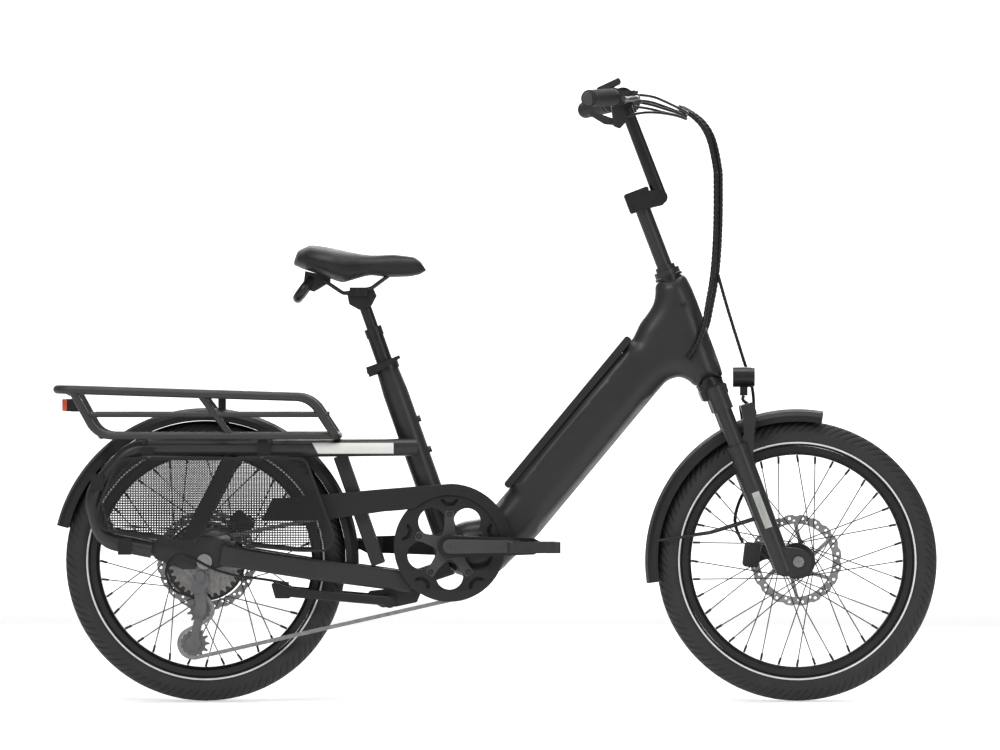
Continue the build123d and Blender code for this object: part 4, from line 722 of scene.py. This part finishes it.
for k in range(LOBES):
    centre_angle = 90 + 72 * k
    for turn, radius in ((-9, 52), (-8, 66), (8, 66), (9, 52), (24, 27), (36, 25), (48, 27)):
        spider.append(polar(BOTTOM, radius, centre_angle + turn))
flat_piece("spider_star", [rounded(spider, 6, 3)], -63.0, -61.6, "crank", "ring_plastic", RECESS,
           bevel=0.5)
CRANK_OUT_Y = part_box("crankset")[0].y / MM
arm = [bb(0, 13), bb(60, 12.2), bb(131, 10.6), bb(135, 8),
       bb(135, -8), bb(131, -10.6), bb(60, -12.2), bb(0, -13)]
arm += [polar(BOTTOM, 13, 255 - 30 * k) for k in range(6)]
flat_piece("crank_face", [rounded(arm, 3, 3)], CRANK_OUT_Y - 0.4, CRANK_OUT_Y + 1.6, "crank",
           "black_alloy", RECESS)
flat_piece("crank_bolt", [circle(BOTTOM, 12, 48), circle(BOTTOM, 5.5, 6)], CRANK_OUT_Y - 1.4,
           CRANK_OUT_Y + 0.2, "crank", "black_alloy", RECESS)

# -------- chain cover --------
COVER_Y = (-66.5, -63.7)
cover = [polar(BOTTOM, 115, a) for a in range(10, 94, 6)]
cover += [Vector((-205, 0, 391.5)), Vector((-310, 0, 382)), Vector((-411, 0, 373.7)), Vector((-430, 0, 334)),
          Vector((-310, 0, 335)), Vector((-205, 0, 350)), Vector((-176, 0, 352))]
cover += [polar(BOTTOM, 93.5, a) for a in range(132, 4, -6)]
flat_piece("chain_cover_shell", [cover], *COVER_Y, "frame", "fender_plastic", bevel=1.2,
           stands_for=("chain_cover",))


# -------- wrapped cables --------
def smooth_path(points, step=3.0):
    """Points along a quadratic spline that has the given control points."""
    pieces = []
    mids = [points[0]] + [(a + b) / 2 for a, b in zip(points[1:-1], points[2:-1])] + [points[-1]]
    controls = points[1:-1]
    for start, control, end in zip(mids, controls, mids[1:]):
        length = (control - start).length + (end - control).length
        count = max(int(length / step), 2)
        for k in range(count):
            t = k / count
            pieces.append(start * (1 - t) ** 2 + control * 2 * t * (1 - t) + end * t ** 2)
    return pieces + [points[-1]]


def tube(bm, path, radius, around=12, wrap=0.0, depth=0.0):
    """A tube along a path. With wrap, a spiral groove of that pitch runs round it."""
    rows, travelled = [], 0.0
    side = Vector((0, 1, 0))
    for i, p in enumerate(path):
        along = (path[min(i + 1, len(path) - 1)] - path[max(i - 1, 0)]).normalized()
        side = (side - along * side.dot(along)).normalized()
        up = along.cross(side)
        if i:
            travelled += (p - path[i - 1]).length
        row = []
        for k in range(around):
            turn = k / around
            r = radius
            if wrap and (travelled / wrap + turn) % 1.0 < 0.18:
                r -= depth
            a = 2 * math.pi * turn
            row.append(p + side * (r * math.cos(a)) + up * (r * math.sin(a)))
        rows.append(row)
    verts = grid(bm, rows, close_columns=True)
    bm.faces.new(verts[0])
    bm.faces.new(verts[-1][::-1])
    return bm


def cable_piece(name, points, radius, bodies, wrap=0.0, stands_for=()):
    """A cable along the given points that rides on its body when given one, and on no body when given two."""
    path = smooth_path(points, 1.1 if wrap else 3.0)
    bm = tube(bmesh.new(), path, radius, 20, wrap, radius * 0.26)
    obj = piece(name, bm, bodies[0] if len(bodies) == 1 else None, "hose", stands_for=stands_for)
    if len(bodies) == 2:
        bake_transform(obj)
    return obj


WRAP_PITCH = 9.4
STRAND_STEP = 8.5
STRAND_FREE_FROM = 620
STRAND_FREE_OVER = 80
BUNDLE_R = 4.8
FRONT_HOSE_R = 3.1
FRONT_HOSE_PITCH = 8.0
BAR_HOSE_R = 2.4
RIGHT_UPPER = [steer(128, 859, -27), steer(146, 839, -17), steer(160, 806, -8),
               steer(160, 766, -5.5), steer(150, 722, -5.5)]
RIGHT_LOWER = [steer(150, 722, -5.5), steer(135, 682, -5.5), steer(116, 634, -6), steer(95.7, 587, -8),
               steer(72.3, 539.5, -14), steer(46, 497, -22), steer(26, 462, -32), steer(-3.5, 431, -36),
               steer(-22, 421, -34)]


def mirrored(points):
    """The left strand: the right one's route, mirrored and further ahead where it hangs free."""
    result = []
    for p in points:
        free = min(max((p.z - STRAND_FREE_FROM) / STRAND_FREE_OVER, 0), 1)
        result.append(Vector((p.x + STRAND_STEP * free, -p.y, p.z)))
    return result


STRANDS = (("right", RIGHT_UPPER, RIGHT_LOWER), ("left", mirrored(RIGHT_UPPER), mirrored(RIGHT_LOWER)))
for side, upper, lower in STRANDS:
    stands = ("control_cables",) if side == "right" else ()
    cable_piece(f"cable_wrap_{side}_upper", upper, BUNDLE_R, ("bars", "steering"),
                WRAP_PITCH, stands)
    cable_piece(f"cable_wrap_{side}_lower", lower, BUNDLE_R, ("steering", "frame"),
                WRAP_PITCH)
FRONT_HOSE = [steer(88, 560, 8), steer(84, 520, 10), steer(80, 470, 14), steer(77, 420, 22),
              steer(74, 365, 36), steer(73, 325, 50), steer(58, 277, 92), steer(44, 236, 102),
              steer(26, 188, 100), steer(-4, 158, 90), steer(-34, 130, 78), steer(-52, 98, 67), steer(-47, 66, 49)]
cable_piece("front_brake_hose", FRONT_HOSE, FRONT_HOSE_R, ("steering", "lowers"),
            FRONT_HOSE_PITCH)
BUNDLE_TOP = steer(130, 857, 0)
BAR_HOSES = {}
for side, label in ((-1, "right"), (1, "left")):
    top = BUNDLE_TOP + Vector((0, side * 25, 0))
    BAR_HOSES[label + "_brake"] = [
        Vector((262, side * 150, 1112)), Vector((284, side * 145, 1111)), Vector((312, side * 118, 1100)),
        Vector((340, side * 80, 1088)), Vector((358, side * 50, 1079)), top]
    BAR_HOSES[label + "_light"] = [
        Vector((255, side * 128, 1100)), Vector((280, side * 118, 1097)), Vector((310, side * 92, 1088)),
        Vector((338, side * 62, 1081)), Vector((356, side * 40, 1074)), top - Vector((0, 0, 4))]
BAR_HOSES["shift_cable"] = [
    Vector((238, -180, 1072)), Vector((262, -165, 1080)), Vector((300, -120, 1081)),
    Vector((335, -76, 1076)), Vector((356, -46, 1068)), BUNDLE_TOP + Vector((2, -23, -8))]
for name, points in BAR_HOSES.items():
    cable_piece("bar_" + name, points, BAR_HOSE_R, ("bars",))


# -------- lamps and badge --------
def soft_box(name, low, high, body, slot, material=None, width=2.0, smooth=True):
    """A block with rounded edges between two corners."""
    bm = bmesh.new()
    bmesh.ops.create_cube(bm, size=1)
    for v in bm.verts:
        v.co = Vector([low[i] if v.co[i] < 0 else high[i] for i in range(3)])
    bmesh.ops.bevel(bm, geom=bm.edges[:], offset=width, segments=3, profile=0.5, affect="EDGES")
    return piece(name, bm, body, slot, material, smooth)


TAIL_LOW, TAIL_HIGH = (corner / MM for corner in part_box("tail_light"))
soft_box("tail_lens", (TAIL_LOW.x, TAIL_LOW.y + 0.5, 534), (TAIL_LOW.x + 10, TAIL_HIGH.y - 0.5, 556.5),
         "frame", "tail_lamp", width=2.5)
LAMP_AT = Vector((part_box("headlight")[1].x / MM, 0, 596.5))


def turned(name, centre, profile, body, slot, material=None, around=48):
    """A piece turned round an axis along X: its profile is (x, radius)."""
    bm = bmesh.new()
    turns = [2 * math.pi * k / around for k in range(around)]
    rows = [[centre + Vector((x, r * math.cos(a), r * math.sin(a))) for a in turns] for x, r in profile]
    verts = grid(bm, rows, close_columns=True)
    bm.faces.new(verts[0])
    bm.faces.new(verts[-1][::-1])
    return piece(name, bm, body, slot, material)


turned("headlight_lens", LAMP_AT, [(-4, 15.5), (-1.6, 15.5), (-0.6, 13), (-0.1, 7), (0, 0.6)],
       "lowers", "head_lamp")
LOOP_AT = Vector((0, -75, 466.2))


def badge_panel():
    """A bare pale panel bent round the upper tube of the right loop."""
    bm = bmesh.new()
    rows = []
    for layer in (16.3, 16.0):
        for k in range(-6, 7) if layer > 16.1 else range(6, -7, -1):
            a = math.radians(k * 6.3)
            z = LOOP_AT.z + layer * math.sin(a)
            y = LOOP_AT.y - layer * math.cos(a)
            slant = -326.5 + (z - LOOP_AT.z + 10) * -0.55
            rows.append([Vector((slant + (-188 - slant) * t / 12, y, z)) for t in range(13)])
    grid(bm, rows, close_rows=True)
    return bm


piece("badge_panel", badge_panel(), "frame", "frame_paint", PALE)

# -------- grips --------
GRIP_OUT_Y = -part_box("grips")[0].y / MM
GRIP_R = 16.0
GRIP_IN_GAP = 126
GRIP_OUT_GAP = 6
CAP_GAP = 5.4
CAP_SECTION = ((12.4, 0), (12, 0.9), (9, 1.4), (1, 1.6))


def grip(side):
    """A ribbed grip, a little narrower at both ends."""
    bm = bmesh.new()
    inner = Vector((211.8, side * (GRIP_OUT_Y - GRIP_IN_GAP), 1106.2))
    outer = Vector((167.6, side * (GRIP_OUT_Y - GRIP_OUT_GAP), 1099.8))
    path = [inner + (outer - inner) * k / 60 for k in range(61)]
    along = (outer - inner).normalized()
    across = along.cross(Vector((0, 0, 1))).normalized()
    up = across.cross(along)
    rows = []
    for i, p in enumerate(path):
        r = GRIP_R - (0.9 if i % 3 == 1 and 4 < i < 56 else 0.2)
        r -= 1.5 if i in (0, 60) else 0
        rows.append([p + across * (r * math.cos(2 * math.pi * k / 32))
                     + up * (r * math.sin(2 * math.pi * k / 32)) for k in range(32)])
    verts = grid(bm, rows, close_columns=True)
    bm.faces.new(verts[0])
    bm.faces.new(verts[-1][::-1])
    return bm


for side, label in ((-1, "right"), (1, "left")):
    stands = ("grips",) if side < 0 else ()
    piece(f"grip_{label}", grip(side), "bars", "grip_rubber", stands_for=stands)


# -------- grip caps, pedal latch, head screw, fork panel --------
for side, label in ((-1, "right"), (1, "left")):
    bm = bmesh.new()
    cap_at = Vector((167.6, side * (GRIP_OUT_Y - CAP_GAP), 1099.8))
    rows = [[cap_at + Vector((r * math.cos(math.tau * k / 32), side * out, r * math.sin(math.tau * k / 32)))
             for k in range(32)] for r, out in CAP_SECTION]
    verts = grid(bm, rows, close_columns=True)
    bm.faces.new(verts[-1])
    bm.faces.new(verts[0][::-1])
    piece(f"grip_cap_{label}", bm, "bars", "grip_rubber", RECESS)
LATCH_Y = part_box("crankset")[0].y / MM - 3.0
latch = [Vector((22.5, LATCH_Y, 284)), Vector((30, LATCH_Y, 280)), Vector((58, LATCH_Y, 280)),
         Vector((58, LATCH_Y, 292.5)), Vector((36, LATCH_Y, 290)), Vector((24, LATCH_Y, 286))]
latch_tube = tube(bmesh.new(), smooth_path(latch + [latch[0]], 1.5), 1.3, 10)
piece("pedal_latch", latch_tube, "pedal_core_right", "pedal_alloy", SILVER)


def side_disc(name, at, radius, out, body, material):
    """A low round screw head that faces the right side."""
    bm = bmesh.new()
    turns = [math.tau * k / 24 for k in range(24)]
    rows = [[at + Vector((r * math.cos(a), -y, r * math.sin(a))) for a in turns]
            for r, y in ((radius, -1.0), (radius, out * 0.5), (radius * 0.8, out), (radius * 0.42, out),
                         (radius * 0.4, out * 0.2))]
    verts = grid(bm, rows, close_columns=True)
    bm.faces.new(verts[-1])
    bm.faces.new(verts[0][::-1])
    return piece(name, bm, body, "black_alloy", material)


side_disc("head_screw", Vector((345.6, -HEAD_HALF_W - 0.4, 730.2)), 5.5, 1.2, "frame",
          FINISHES["black_alloy"])
LEG_Y = 75.0
LEG_R = 19.0
LEG_AHEAD = 4.4
PANEL_R = LEG_R + 0.35
PANEL_T = 0.3
bm = bmesh.new()
rows = []
for k in range(-3, 4):
    a = math.radians(k * 7)
    y = -(LEG_Y + PANEL_R * math.cos(a))
    rows.append([steer(LEG_AHEAD + PANEL_R * math.sin(a), up, y) for up in (78, 100, 130, 148)])
grid(bm, rows)
bmesh.ops.solidify(bm, geom=bm.faces[:], thickness=PANEL_T)
piece("fork_panel", bm, "lowers", "frame_paint", PALE)
